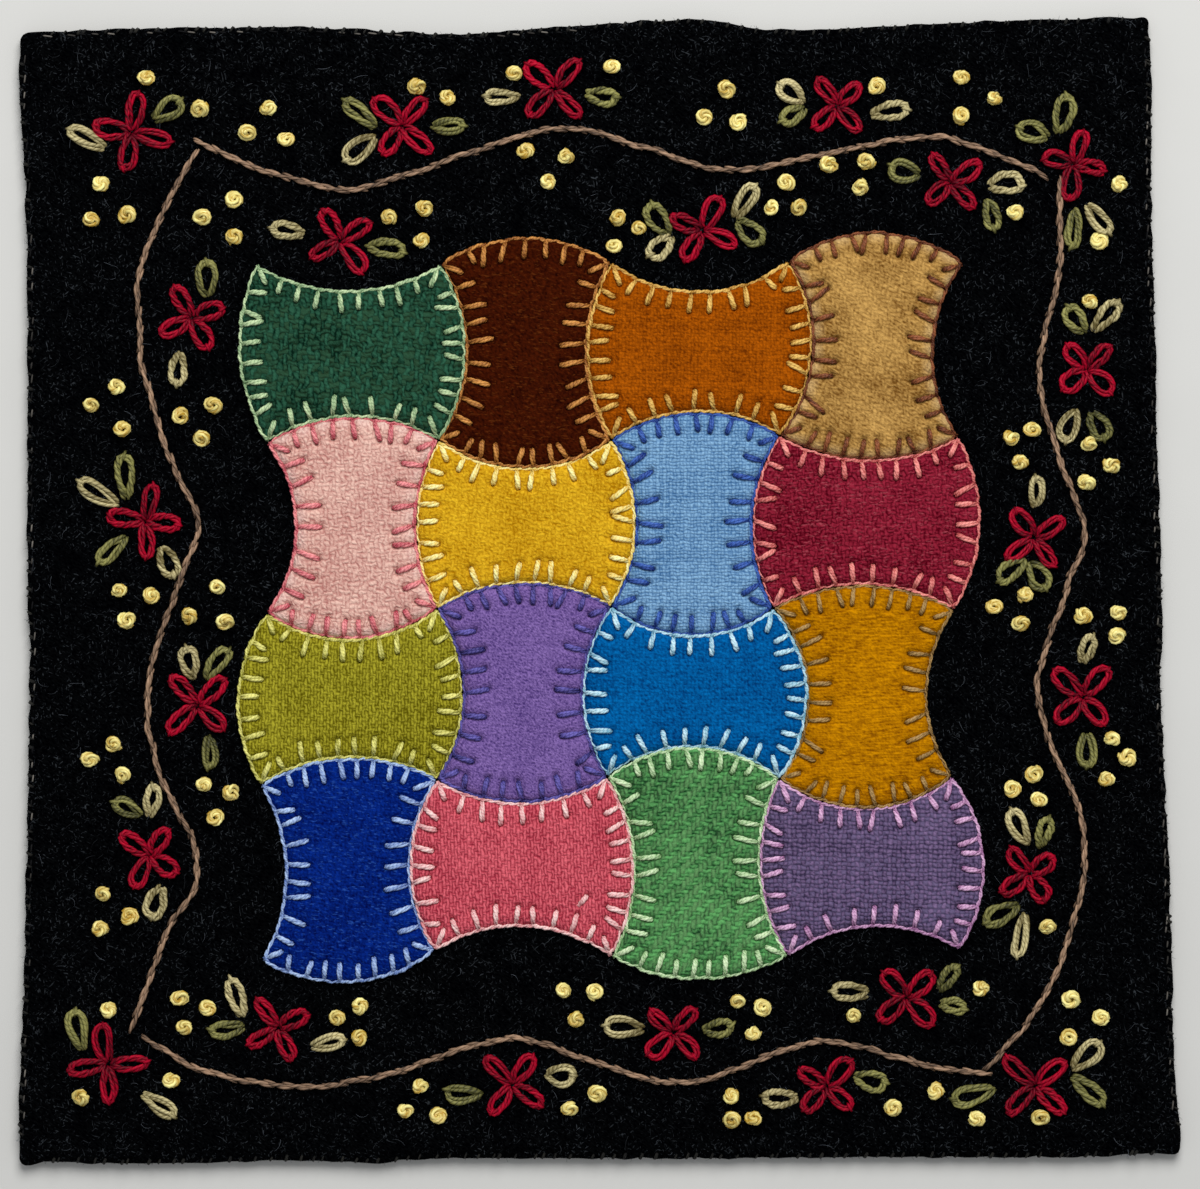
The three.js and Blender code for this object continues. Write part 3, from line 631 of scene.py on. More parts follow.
def spokesOf(patch, rng):  # each spoke: its foot on the edge, the way it points, its start and its end
    made, places = [], []
    gap, jitter, vary = spokes["cornerGap"], spokes["jitter"], spokes["startVary"]
    for side in range(4):
        length = patch.length(side)
        count = round((length - 2 * gap) / spokes["pitch"]) + 1
        feet = np.linspace(gap, length - gap, count) + rng.uniform(-jitter, jitter, count)
        places.append(feet / length)
        upright, hollow = side % 2, patch.sides[side][2] < 0
        reach = spokes["ends"][upright * (1 + hollow)]  # longest on hollow upright sides
        for share in places[side]:
            foot, inward = patch.edge(side, share)
            lean = rng.normal(0, spokes["lean"])
            way = np.array((inward[0] - lean * inward[1], inward[1] + lean * inward[0]))
            end = reach + rng.uniform(-1, 1) * spokes["endVary"]
            end -= spokes["endShort"] * (share in (places[side][0], places[side][-1]))
            made.append((foot, way, spokes["start"] + rng.uniform(-vary, vary), end))
        foot, _ = patch.edge(side, 0.0)
        way = patch.spot(*spokes["cornerAims"][side]) - foot
        way /= np.linalg.norm(way)
        made.append((foot, way, spokes["cornerStart"], rng.uniform(*spokes["cornerEnd"])))
    return made, places


def makePatch(wool, patch, stitches):
    cells = patching["cells"]
    bm = bmesh.new()
    bmesh.ops.create_grid(bm, x_segments=cells, y_segments=cells, size=0.5)
    shares = np.array([v.co.xy for v in bm.verts]) * (1 - 2 * patching["inset"]) + 0.5
    spots = patch.rounded(shares[:, 0], shares[:, 1])
    heights = patch.rise(spots)
    pull = np.zeros_like(spots)
    # masks for the paint: the cloth between stitches painted paler as highlight, each needle hole painted
    # darker as shade
    puffHighlight, holeShadeMask = np.clip(1.2 - patch.near(spots) / patching["puffHighlight"], 0, 1), np.zeros(len(spots))
    for foot, way, _, end in stitches:  # each stitch pulls the cloth down along its length and its rim in
        close = np.exp(-((np.linalg.norm(spots - foot, axis=1) / patching["drawWidth"]) ** 2))
        pull += patching["draw"] * close[:, None] * way
        t = np.clip((spots - foot) @ way, 0.4, end)
        far = np.linalg.norm(spots - foot - t[:, None] * way, axis=1)
        sewn = np.exp(-((far / patching["biteWidth"]) ** 2))
        heights -= patching["bite"] * sewn
        puffHighlight *= 1 - sewn
        far = np.linalg.norm(spots - foot - end * way, axis=1)
        hole = np.exp(-((far / patching["holeWidth"]) ** 2))
        heights -= patching["hole"] * hole
        holeShadeMask = np.maximum(holeShadeMask, hole)
    (lumpHeight, lumpScale), (grainHeight, grainScale) = patching["lump"], patching["grain"]
    for vert, (x, y), z in zip(bm.verts, spots + pull, heights):
        uneven = lumpHeight * lumps(x, y, lumpScale, 2.0) + grainHeight * lumps(x, y, grainScale, 5.0)
        vert.co = toFrame((x, y, max(z + uneven, patching["lowest"])))
    border = lowerRing(bm, [e for e in bm.edges if e.is_boundary])
    for vert in {v for e in border for v in e.verts}:
        vert.co.z = rug["seat"] * mm
    bmesh.ops.contextual_create(bm, geom=border)
    mesh = clothMesh("patch" + wool["name"].title(), bm)
    sewn = mesh.attributes.new("sewn", "FLOAT", "POINT")  # 1 in puffs between stitches, -1 at each needle hole: where the wool is painted lighter as highlight and darker as shade
    underside = np.zeros(len(mesh.vertices) - len(puffHighlight))
    sewn.data.foreach_set("value", np.concatenate([puffHighlight * (1 - holeShadeMask) - holeShadeMask, underside]))
    return mesh


def makeStitches(wool, patch, stitches, places, rng):
    strands = []
    size = wool.get("size", 1.0)
    taper, reach = np.array(stitching["taper"]), stitching["reach"] * size
    for foot, way, start, end in stitches:
        out = [0.3, 0.15 + 0.5 * start, start, start + 0.3]
        out += [0.5 * (start + end), end - 0.35, end - 0.05, end + 0.05]
        flat = foot + np.array(out)[:, None] * way
        path = evenPath(np.column_stack([flat, patch.rise(flat) + stitching["sunk"]]), len(taper))
        turns, phase = rng.normal(1.0, 0.35), anyTurn(rng)
        strands += twisted(path, turns, phase, reach, taper, stitching["flat"], stitching["plies"])
    width = stitching["edgeStrand"] / stitching["strand"]
    for side in range(4):  # a run of thread along the edge from each spoke to the next
        stops = np.concatenate([[0.0], places[side], [1.0]])
        drop = rng.uniform(0, stitching["edgeDrop"]) * patch.shared[side]
        for a, b in zip(stops, stops[1:]):
            share = np.linspace(a - 0.008, b + 0.008, max(5, round((b - a) * 60)))
            bow = np.sin(np.pi * np.linspace(0, 1, len(share)))
            inset = stitching["edgeInset"] + rng.uniform(-0.04, 0.2) - stitching["edgeBow"] * bow
            flat = patch.rim(side, np.clip(share, 0.012, 0.988), inset / rug["pitch"])
            height = patching["edgeHeight"] - 0.1 - drop + 0.16 * bow ** 0.5 + rng.normal(-0.02, 0.06)
            path = np.column_stack([flat, height])
            turns, phase = pathLength(path) / stitching["edgeTwist"], anyTurn(rng)
            strands += twisted(path, turns, phase, stitching["edgeReach"], width * rng.uniform(0.8, 1.2))
    return threadMesh("stitch" + wool["name"].title(), strands, stitching["strand"] * size)


for number, wool in enumerate(wools):
    name = wool["name"]
    patch = Patch(number // 4, number % 4)
    rng = np.random.default_rng(spokes["seed"] + number)
    stitches, places = spokesOf(patch, rng)
    if name == "rose":
        stitches.append(strayStitch)
    cloth = woolFinish(name + " wool", wool)
    piece = addPiece("patch" + name.title(), makePatch(wool, patch, stitches), cloth)
    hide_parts("patch_" + name)
    thread = threadFinish(name + " edging thread", wool["thread"], wool["threadLight"], stitching["twists"])
    sewing = addPiece("stitch" + name.title(), makeStitches(wool, patch, stitches, places, rng), thread)
    low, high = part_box("patch_" + name)
    x, y = np.vstack([arcAt(*side, np.linspace(0, 1, 60)) for side in patch.sides]).T
print("patches sewn", len(wools))


# The vine

vine = {
    "pitch": 2.8, "length": 4.2, "strand": 0.24, "reach": 0.17, "lean": 0.26, "drift": 0.13, "bend": 9,
    "step": 0.3, "rise": 0.62, "seed": 5,
}
vineRuns = [
    [(-59.1, 65.3), (-47, 60.6), (-35.5, 58.5), (-20, 63.2), (-5.7, 67.2), (6, 64.6), (18.2, 61.1),
     (33, 63.4), (47.2, 66.0), (57, 63.6), (65.4, 59.9)],
    [(-58.6, 64.3), (-66.3, 48.0), (-66.7, 35.0), (-65.2, 27.7), (-62.0, 18.3), (-58.3, 9.6), (-61.6, -0.6),
     (-65.5, -12.9), (-64.2, -25.3), (-58.4, -39.8), (-63.4, -50.7), (-68.1, -64.4)],
    [(66.8, 60.2), (66.8, 47.3), (64.1, 33.5), (65.1, 24.8), (68.3, 15.4), (70.5, 8.1), (68.3, 1.6),
     (64.7, -9.3), (63.6, -14.4), (65.4, -21.6), (69.4, -31.1), (70.6, -39.0), (68.6, -49.2), (65.4, -57.2),
     (61.8, -63.0), (56.0, -69.9)],
    [(-66.7, -64.9), (-57.3, -69.8), (-43.5, -72.0), (-30.4, -70.1), (-21.7, -67.1), (-11.8, -64.9),
     (-2.8, -67.8), (8.8, -71.3), (17.5, -70.3), (26.2, -66.8), (32.7, -65.3), (42.2, -67.5), (49.5, -69.3),
     (57.0, -69.8)],
]


def makeVine():  # stem stitch, each stitch lying beside the end of the last
    rng = np.random.default_rng(vine["seed"])
    strands = []
    share = np.linspace(0, 1, 11)
    for run in vineRuns:
        line = smoothPath(run, vine["step"])
        spots = np.arange(len(line))
        along = np.gradient(line, axis=0)
        along /= np.linalg.norm(along, axis=1)[:, None]
        side = np.column_stack([along[:, 1], -along[:, 0]])
        bends = np.arange(0, len(line) + vine["bend"], vine["bend"])
        line = line + side * np.interp(spots, bends, rng.normal(0, vine["drift"], len(bends)))[:, None]
        total = (len(line) - 1) * vine["step"]
        for start in np.linspace(0, total - vine["length"], round(total / vine["pitch"])):
            length = vine["length"] * rng.uniform(0.92, 1.08)
            at = np.clip((start + share * length) / vine["step"], 0, len(line) - 1)
            lean = vine["lean"] * (2 * share - 1) * rng.uniform(0.8, 1.2)
            x, y = (np.interp(at, spots, line[:, i]) for i in (0, 1))
            leanX, leanY = (lean * np.interp(at, spots, side[:, i]) for i in (0, 1))
            height = rug["top"] + vine["rise"] * np.sin(np.pi * share) ** 0.6 - 0.1 + 0.1 * share
            path = np.column_stack([x + leanX, y + leanY, height])
            strands += twisted(path, 1.0, anyTurn(rng), vine["reach"], 0.7 + 0.3 * np.sin(np.pi * share))
    return threadMesh("vineStitch", strands, vine["strand"])


vineThread = threadFinish("brown vine thread", (54, 40, 30), (174, 140, 112), 3, 0.6, 0.8)
vineStitch = addPiece("vineStitch", makeVine(), vineThread)
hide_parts("vine_top", "vine_left", "vine_right", "vine_bottom")
print("vine sewn", len(vineStitch.data.polygons))


# Flowers and leaves in lazy-daisy stitch

daisy = {"petal": 5.4, "middle": 0.3, "plies": 3, "wander": 0.07, "seed": 8}
petals = {"width": 3.1, "strand": 0.25, "reach": 0.29, "hold": 0.4, "blunt": 0.5, "turns": (1.2, 2.0, 3.0)}
leaves = {"width": 3.45, "strand": 0.28, "reach": 0.29, "hold": 0.6, "blunt": 0.8, "turns": (0.8, 1.8, 3.0)}
sprays = [  # middle, turn and size of each flower, then its leaves from base to tip: o olive, k khaki
    ((-68.0, 66.6), -11, 1.05, [("o", 3.2, 2.0, 7.5, 4.9), ("k", -3.8, -2.3, -9.4, 0.6)]),
    ((-28.7, 67.6), 52, 1.0, [("o", -3.8, -0.3, -8.7, 3.9), ("k", -3.9, -1.5, -8.4, -5.4),
     ("o", 4.4, -0.1, 9.4, 0.1)]),
    ((-6.6, 72.9), 46, 1.02, [("k", -5.2, -1.2, -10.4, -1.0), ("o", 4.6, -0.6, 9.6, -1.2)]),
    ((34.5, 70.5), 37, 0.88, [("k", -4.9, 0.7, -8.7, 3.3), ("o", -4.7, -0.3, -8.4, -2.6),
     ("k", 4.9, -1.2, 10.7, -0.3)]),
    ((68.9, 62.0), -11, 0.95, [("o", -3.8, 3.9, -8.4, 5.4), ("o", -2.3, 4.5, -1.0, 10.4),
     ("o", 0.3, -6.5, -0.3, -12.5), ("k", 1.9, -5.8, 5.5, -10.3)]),
    ((-37.7, 50.8), 36, 1.0, [("k", -5.2, 1.0, -10.4, 1.9), ("o", 3.9, -0.6, 9.7, -1.6)]),
    ((15.0, 52.4), 58, 1.02, [("o", -4.9, -0.6, -7.7, 4.2), ("k", -4.6, -1.0, -8.0, -4.1),
     ("k", 4.6, 2.0, 7.8, 6.8), ("o", 5.1, 1.5, 9.0, -1.9)]),
    ((51.0, 59.4), 37, 0.92, [("o", -4.5, 1.0, -9.1, 2.5), ("k", 5.5, -0.6, 10.9, -0.6),
     ("o", 5.4, -2.5, 6.4, -7.3)]),
    ((-59.3, 39.6), 23, 1.02, [("o", 2.2, 3.2, 2.2, 8.7), ("k", -1.7, -4.9, -2.3, -10.0)]),
    ((-66.0, 10.2), -6, 1.04, [("k", -4.1, 2.3, -10.0, 5.9), ("o", -2.8, 3.3, -3.2, 10.0),
     ("o", -2.9, -2.5, -7.1, -6.4), ("k", 2.3, -3.8, 4.4, -8.4)]),
    ((-58.4, -16.7), 48, 1.05, [("k", -0.7, 4.1, -1.7, 8.9), ("o", 1.3, 3.9, 4.8, 8.4),
     ("o", 1.6, -4.4, 1.5, -9.4)]),
    ((-65.4, -38.5), 60, 0.94, [("k", -0.1, 5.8, 0.6, 10.6), ("o", -1.3, 5.8, -5.5, 8.1),
     ("k", 1.7, -4.5, 0.4, -9.4)]),
    ((-71.5, -68.7), 6, 1.08, [("o", -3.6, 2.0, -4.8, 8.1), ("k", 5.1, -4.5, 10.0, -7.8)]),
    ((-46.7, -63.6), 29, 1.0, [("k", -5.2, 1.6, -7.0, 7.7), ("o", -4.9, 0.3, -10.3, -0.3),
     ("k", 4.9, -2.5, 9.9, -1.5)]),
    ((10.7, -64.2), 41, 0.9, [("k", -4.4, 0.6, -10.3, 1.2), ("o", 4.4, 0.4, 9.0, 1.2)]),
    ((44.6, -59.1), 41, 1.0, [("k", -5.4, 0.7, -11.2, 1.0), ("o", 4.8, 1.0, 7.5, 4.9),
     ("o", 4.9, -0.9, 8.9, -1.7)]),
    ((-12.7, -71.8), 52, 1.02, [("o", -4.5, -1.3, -10.0, -0.6), ("k", 4.9, 1.5, 9.4, 1.6)]),
    ((33.0, -72.1), 53, 0.95, [("o", 4.1, 1.6, 9.1, 0.7), ("k", -4.2, -1.5, -9.6, -1.3)]),
    ((63.4, -72.0), 47, 1.12, [("o", -6.1, -0.4, -12.5, -2.0), ("k", 5.4, 2.6, 9.4, 6.7),
     ("o", 5.2, 1.5, 10.2, -2.8)]),
    ((70.8, 32.1), 43, 0.95, [("o", -0.3, 5.5, -2.9, 9.6), ("k", 1.0, 5.8, 4.8, 10.2),
     ("k", -1.5, -5.8, -3.3, -10.7), ("o", 0.6, -6.1, 2.8, -10.4)]),
    ((70.2, -15.5), 44, 1.02, [("k", 0.0, 5.1, 1.6, 9.3), ("o", 0.7, -5.1, 0.7, -10.4)]),
    ((63.2, 7.8), 36, 1.0, [("k", 0.1, 4.4, 0.1, 9.1), ("o", -1.2, -3.3, -5.4, -6.7),
     ("o", -0.6, -3.6, 1.9, -7.8)]),
    ((62.5, -41.2), 33, 0.88, [("k", -0.3, 4.5, -2.8, 9.7), ("o", 1.6, 4.1, 2.8, 8.6),
     ("o", -1.6, -4.6, -6.7, -7.3), ("k", -0.7, -5.7, -2.0, -12.2)]),
]


def lazyLoop(base, tip, sewing, rng):  # a loop round its tip, then the short stitch that holds it
    base, tip = np.array(base), np.array(tip)
    length = np.linalg.norm(tip - base)
    along = (tip - base) / length
    side = np.array((along[1], -along[0]))
    turn = np.linspace(0.05, 2 * math.pi - 0.05, 40)
    loop = length - sewing["hold"]
    forward = loop * (1 - np.cos(turn)) / 2
    half = sewing["width"] * rng.uniform(0.78, 1.1) / 2 - sewing["strand"] - sewing["reach"]
    swing = np.sin(turn)
    across = half * np.sign(swing) * np.abs(swing) ** 0.8 * np.sin(turn / 2) ** sewing["blunt"] / 0.83
    across *= 1 + 0.16 * rng.normal() * np.sign(swing)
    flat = base + forward[:, None] * along + across[:, None] * side
    height = rug["top"] + 0.36 - 0.8 * np.exp(-forward / 0.6)
    path = evenPath(np.column_stack([flat, height]), 21)
    turns = rng.normal(0, 0.3) + rng.choice(sewing["turns"])
    strands = twisted(path, turns, anyTurn(rng), sewing["reach"], flat=0.7, plies=daisy["plies"])
    strands = wandering(strands, daisy["wander"], rng)
    share = np.linspace(0, 1, 6)
    out = loop - 0.55 + share * (0.5 + sewing["hold"])
    hold = base + out[:, None] * along + (rng.normal(0, 0.15) * (2 * share - 1))[:, None] * side
    path = np.column_stack([hold, rug["top"] + 0.8 * np.sin(np.pi * share) ** 0.7 - 0.1])
    return strands + twisted(path, 0.2, rng.normal(0, 0.3), sewing["reach"] * 0.55, 0.8)


def makeFlowers():
    rng = np.random.default_rng(daisy["seed"])
    strands = []
    for middle, turn, size, _ in sprays:
        for petal in range(4):
            bearing = math.radians(turn + 90 * petal + rng.uniform(-8, 8))
            reach = daisy["petal"] * size * rng.uniform(0.92, 1.1)
            way = np.array((math.cos(bearing), math.sin(bearing)))
            strands += lazyLoop(middle + daisy["middle"] * way, middle + reach * way, petals, rng)
    return threadMesh("flowerStitch", strands, petals["strand"])


def makeLeaves(kind, name, seed):
    rng = np.random.default_rng(seed)
    strands = []
    for middle, _, _, spray in sprays:
        for shade, baseX, baseY, tipX, tipY in spray:
            if shade == kind:
                base, tip = np.add(middle, (baseX, baseY)), np.add(middle, (tipX, tipY))
                strands += lazyLoop(base, tip, leaves, rng)
    return threadMesh(name, strands, leaves["strand"])


redThread = threadFinish("red flower thread", (76, 0, 16), (180, 0, 40), 13, 0.5, shine=0.12)
flowerStitch = addPiece("flowerStitch", makeFlowers(), redThread)
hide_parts(*["flower_%02d" % (i + 1) for i in range(len(sprays))])
oliveThread = threadFinish("olive leaf thread", (50, 50, 18), (150, 146, 82), 16)
oliveLeaves = addPiece("oliveLeaves", makeLeaves("o", "oliveLeaves", 31), oliveThread)
khakiThread = threadFinish("khaki leaf thread", (96, 84, 44), (220, 206, 152), 16)
khakiLeaves = addPiece("khakiLeaves", makeLeaves("k", "khakiLeaves", 32), khakiThread)
print("sprays sewn", *(len(piece.data.polygons) for piece in (flowerStitch, oliveLeaves, khakiLeaves)))


# French knots

knots = {
    "wide": 0.82, "wideVary": (0.9, 1.2), "oval": (0.75, 1.0), "turns": 1.75, "turnsVary": (0.8, 1.15),
    "tilt": (0.3, 0.9), "sink": (0.1, 1.1), "heights": (-0.2, 1.15), "strand": 0.29, "reach": 0.27,
    "plies": 3, "twist": (0.9, 2.6), "wander": 0.1, "seed": 17,
}
knotSpots = [
    (-65.7, 74.6), (-58.1, 70.0), (-72.4, 59.2), (-73.8, 54.0), (-68.6, 54.7),
    (-48.0, 70.2), (-51.2, 66.6), (-45.5, 65.6), (-53.2, 56.9), (-57.7, 54.3), (-53.0, 51.5),
    (-30.6, 54.3), (-25.5, 55.6), (-25.9, 50.9), (-10.8, 63.9), (-4.9, 63.1), (-7.5, 59.4),
    (18.5, 72.9), (15.2, 68.8), (20.2, 68.1), (2.7, 54.3), (5.7, 52.7), (2.0, 50.1),
    (27.1, 59.4), (25.0, 55.7), (29.0, 55.7), (52.6, 74.6), (57.4, 71.6), (52.6, 69.1),
    (33.3, 62.0), (38.7, 62.4), (37.8, 58.6), (-26.5, 73.2), (-22.1, 71.7), (-12.4, 75.2), (1.8, 76.2),
    (40.4, 73.3),
    (60.4, 55.0), (75.5, 59.1), (72.6, 50.9), (71.2, 42.1), (71.2, 21.3), (74.4, 18.3), (70.6, 15.7),
    (59.9, 22.2), (62.8, 23.4), (61.0, 18.7), (57.4, -2.2), (61.9, -0.6), (61.2, -4.8),
    (70.3, -3.5), (75.4, -3.2), (75.1, -6.5), (74.4, -21.5), (76.7, -24.2), (73.7, -27.3),
    (63.1, -26.6), (59.9, -28.7), (63.8, -30.3), (65.1, -48.8), (68.4, -59.4), (72.9, -62.0), (68.1, -64.9),
    (64.1, -76.5), (54.8, -76.6), (48.8, -72.7), (42.7, -75.0), (55.4, -57.8), (36.9, -61.7),
    (20.1, -59.5), (23.7, -60.5), (22.3, -64.3), (19.1, -73.4), (19.2, -76.9), (22.4, -76.5),
    (-4.4, -75.2), (-0.4, -73.0), (-26.1, -72.0), (-28.2, -75.5), (-23.4, -76.2), (-5.3, -58.1),
    (-0.7, -58.1), (-3.4, -62.3),
    (-38.2, -62.1), (-34.8, -60.2), (-34.9, -64.9), (-60.9, -59.2), (-57.0, -60.5), (-60.3, -63.4),
    (-71.3, -60.8), (-75.4, -73.6), (-62.2, -71.1), (-72.1, -44.1), (-68.3, -47.2), (-72.6, -49.1),
    (-57.5, -28.2), (-53.5, -29.3), (-55.8, -32.9), (-70.6, -22.2), (-74.1, -24.5), (-69.2, -26.7),
    (-55.5, 0.6), (-59.6, -3.6), (-54.4, -4.5), (-69.7, 0.0), (-65.1, -0.7), (-68.7, -4.2),
    (-70.2, 29.6), (-73.9, 27.1), (-69.3, 23.5), (-56.1, 27.0), (-60.9, 25.4), (-57.8, 22.2),
]


def makeKnots():  # the thread is wound twice round itself and goes down through the middle
    rng = np.random.default_rng(knots["seed"])
    strands = []
    share = np.linspace(0, 1, 22)
    closing = 1 - 0.25 * share - 0.62 * np.clip((share - 0.7) / 0.3, 0, 1) ** 1.5
    falling = np.clip((share - 0.72) / 0.28, 0, 1) ** 1.6
    for x, y in knotSpots:
        start, hand = anyTurn(rng), rng.choice((-1, 1))
        angle = start + hand * 2 * math.pi * knots["turns"] * rng.uniform(*knots["turnsVary"]) * share
        wide = knots["wide"] * rng.uniform(*knots["wideVary"]) * closing
        height = 0.25 + 0.75 * share - rng.uniform(*knots["sink"]) * falling
        narrow = wide * rng.uniform(*knots["oval"])
        coil = np.column_stack([wide * np.cos(angle), narrow * np.sin(angle), height])
        tilt, bearing = rng.uniform(*knots["tilt"]), anyTurn(rng)
        coil[:, 2] += tilt * (coil[:, 0] * math.cos(bearing) + coil[:, 1] * math.sin(bearing))
        coil[:, 2] = np.clip(coil[:, 2], *knots["heights"])
        turns, phase = rng.uniform(*knots["twist"]), anyTurn(rng)
        wound = twisted(coil + (x, y, rug["top"]), turns, phase, knots["reach"], plies=knots["plies"])
        strands += wandering(wound, knots["wander"], rng)
    return threadMesh("knotStitch", strands, knots["strand"])


knotThread = threadFinish("butter yellow thread", (184, 144, 42), (255, 244, 158), 5, 0.32, 1.0, 0.4)
knotStitch = addPiece("knotStitch", makeKnots(), knotThread)
print("knots tied", len(knotSpots), len(knotStitch.data.polygons))


# Fine wool hairs that stand off the ground

hairs = {
    "count": 1500, "length": (0.6, 2.2), "curl": 1.6, "lift": 0.12, "arch": 0.2, "edgeCount": 420,
    "edgeLength": (0.35, 0.75), "edgeCurl": 1.2, "edgeHeight": (0.6, 2.3), "root": 0.3,
    "radius": 0.026, "seed": 40,
}


def hairPath(start, bearing, curl, length, heights):
    heading = bearing + curl * np.linspace(0, 1, len(heights))
    steps = np.column_stack([np.cos(heading), np.sin(heading)]) * length / (len(heights) - 1)
    return np.column_stack([np.cumsum(steps, axis=0) + start, heights]), np.linspace(1.0, 0.4, len(heights))


def makeHairs():  # loose hairs on the black cloth, then along its hem
    rng = np.random.default_rng(hairs["seed"])
    strands = []
    arch = np.sin(np.pi * np.linspace(0, 1, 6))
    for _ in range(hairs["count"]):
        start = groundSpot(*rng.uniform(0.004, 0.996, 2))
        heights = rug["top"] + hairs["lift"] + hairs["arch"] * arch * rng.uniform(0.3, 1.5)
        bearing, curl = anyTurn(rng), rng.normal(0, hairs["curl"])
        strands.append(hairPath(start, bearing, curl, rng.uniform(*hairs["length"]), heights))
    for _ in range(hairs["edgeCount"]):
        side = rng.choice(list(hemSides))
        inward = np.array(hemSides[side])
        bearing = math.atan2(-inward[1], -inward[0]) + rng.normal(0, 0.7)
        start = alongEdge(side, rng.uniform(0.02, 0.98)) + hairs["root"] * inward
        heights = rng.uniform(*hairs["edgeHeight"]) + np.linspace(0, rng.normal(0, 0.25), 5)
        curl, length = rng.normal(0, hairs["edgeCurl"]), rng.uniform(*hairs["edgeLength"])
        strands.append(hairPath(start, bearing, curl, length, np.maximum(heights, 0.1)))
    return threadMesh("woolHairs", strands, hairs["radius"], 0)


hairFinish = Finish("blue grey hairs", 0.8, 0.2)
tint = hairFinish.eachStrand()
hairFinish.colour(hairFinish.mix(tint * tint, rgb(14, 16, 18), rgb(92, 98, 106)))
woolHairs = addPiece("woolHairs", makeHairs(), hairFinish)
print("hairs", len(woolHairs.data.polygons))


# The hem's stitches

def hemPlaces(count, gap, spread, rng):  # side, share along it, spot, and the ways in and along there
    for side, (inX, inY) in hemSides.items():
        for i in range(count):
            share = gap + (1 - 2 * gap) * (i + rng.uniform(*spread)) / count
            yield side, share, alongEdge(side, share), np.array((inX, inY)), np.array((-inY, inX))


def makeOvercast():  # slanted stitches over the edge of the hem
    rng = np.random.default_rng(hemming["seed"] + 1)
    strands = []
    count = int(hemming["overRun"] / hemming["overPitch"])
    for _, _, foot, on, along in hemPlaces(count, 0.018, (0.1, 0.9), rng):
        deep = rng.uniform(*hemming["overDeep"])
        steps = [(deep, -0.3, 2.55), (deep * 0.75, -0.22, 2.74), (0.3, -0.1, 2.45), (0.04, 0.0, 1.6),
                 (0.06, 0.1, 1.0), (0.5, 0.25, 0.28), (deep, 0.3, 0.42)]  # how far in, along and up
        path = np.array([(*(foot + on * d + along * a), z) for d, a, z in steps])
        strands.append((path, rng.uniform(0.6, 1.2)))
    return threadMesh("overcastStitch", strands, hemming["overStrand"])


def makeHemming():  # small stitches just inside the hem, above and below
    rng = np.random.default_rng(hemming["seed"])
    strands = []
    count = int(hemming["run"] / hemming["pitch"])
    above, below = hemming["above"], hemming["below"]
    for side, share, foot, on, along in hemPlaces(count, 0.02, (0.2, 0.8), rng):
        shown = side in ("left", "right") or side == "top" and share < 0.5  # elsewhere sunk in the nap
        half, into = rng.uniform(0.35, 0.65), hemming["in"] + rng.uniform(-0.15, 0.15)
        for rise, sink, shift in (above, below) if shown else (below,):
            steps = [(-half, sink), (-half * 0.7, 0), (half * 0.7, 0.02), (half, sink)]
            path = [(*(foot + on * (into + 0.12 * a) + along * (a + shift)), rise + z) for a, z in steps]
            strands.append((np.array(path), 1.0))
    return threadMesh("hemStitch", strands, hemming["strand"])


hemFinish = Finish("hem thread", 0.8, 0.1)
tint = hemFinish.eachStrand()
hemFinish.colour(hemFinish.mix(hemFinish.clamp(tint * 1.7 - 0.7), rgb(14, 14, 16), rgb(114, 109, 102)))
hemStitch = addPiece("hemStitch", makeHemming(), hemFinish)
overcastThread = threadFinish("black hem thread", (4, 4, 4), (36, 35, 29), 6, 0.8)
overcastStitch = addPiece("overcastStitch", makeOvercast(), overcastThread)
low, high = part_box("ground")
print("hem sewn", len(hemStitch.data.polygons))


# Floor, light and camera

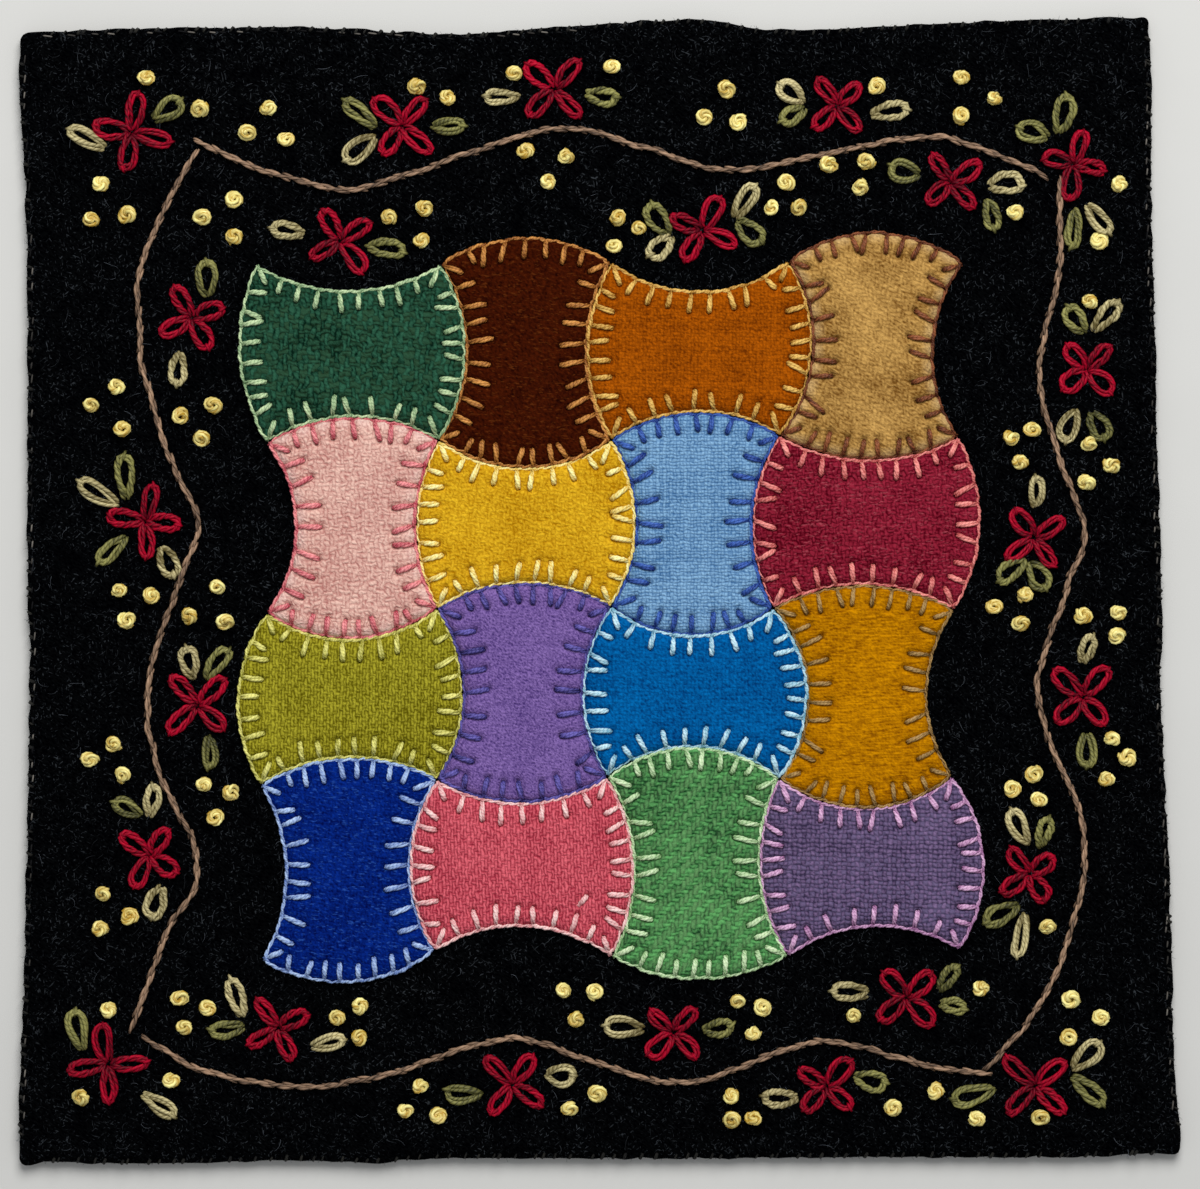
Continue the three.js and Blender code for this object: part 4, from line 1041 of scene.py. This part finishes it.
stage = {
    "floor": (208, 207, 203), "floorDim": (202, 201, 197), "floorHalf": 1.5, "sky": 0.4,
    "skyTint": (0.93, 0.96, 1.0, 1.0), "key": 7.0, "keySize": 0.6, "keySpot": (0.08, 0.48, 0.68),
}
bm = bmesh.new()
bmesh.ops.create_grid(bm, x_segments=2, y_segments=2, size=stage["floorHalf"])
floorMesh = bpy.data.meshes.new("floor")
bm.to_mesh(floorMesh)
bm.free()
floorFinish = Finish("pale floor", 0.9, 0.1)
cloudy = floorFinish.grain(floorFinish.millimetres(), 0.05, 3.0)
floorFinish.colour(floorFinish.mix(cloudy, rgb(*stage["floorDim"]), rgb(*stage["floor"])))
floorMesh.materials.append(floorFinish.material)
floor = bpy.data.objects.new("floor", floorMesh)
bpy.context.scene.collection.objects.link(floor)

world = bpy.data.worlds.new("soft room")
world.use_nodes = True
world.node_tree.nodes["Background"].inputs["Color"].default_value = stage["skyTint"]
world.node_tree.nodes["Background"].inputs["Strength"].default_value = stage["sky"]
bpy.context.scene.world = world
bpy.context.scene.view_settings.view_transform = "Standard"

keyLight = bpy.data.lights.new("key", "AREA")
keyLight.shape = "DISK"
keyLight.size = stage["keySize"]
keyLight.energy = stage["key"]
key = bpy.data.objects.new("key", keyLight)
key.location = stage["keySpot"]
key.rotation_euler = (-Vector(stage["keySpot"])).to_track_quat("-Z", "Y").to_euler()
bpy.context.scene.collection.objects.link(key)

view = {"across": 174.17, "height": 900.0, "over": (0.07, -0.51), "focus": 4.0}  # millimetres
camera = bpy.data.cameras.new("camera")
camera.sensor_width = 36.0
camera.lens = camera.sensor_width * (view["height"] - view["focus"]) / view["across"]
camera.clip_start = 0.01
cameraSpot = bpy.data.objects.new("camera", camera)
cameraSpot.location = toFrame((*view["over"], view["height"]))
bpy.context.scene.collection.objects.link(cameraSpot)
bpy.context.scene.camera = cameraSpot

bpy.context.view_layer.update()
dressed = [o.data for o in bpy.data.objects if o.type == "MESH" and "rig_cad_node" not in o]
triangles = sum(len(face.vertices) - 2 for mesh in dressed for face in mesh.polygons)
print("triangles in the scene", triangles)
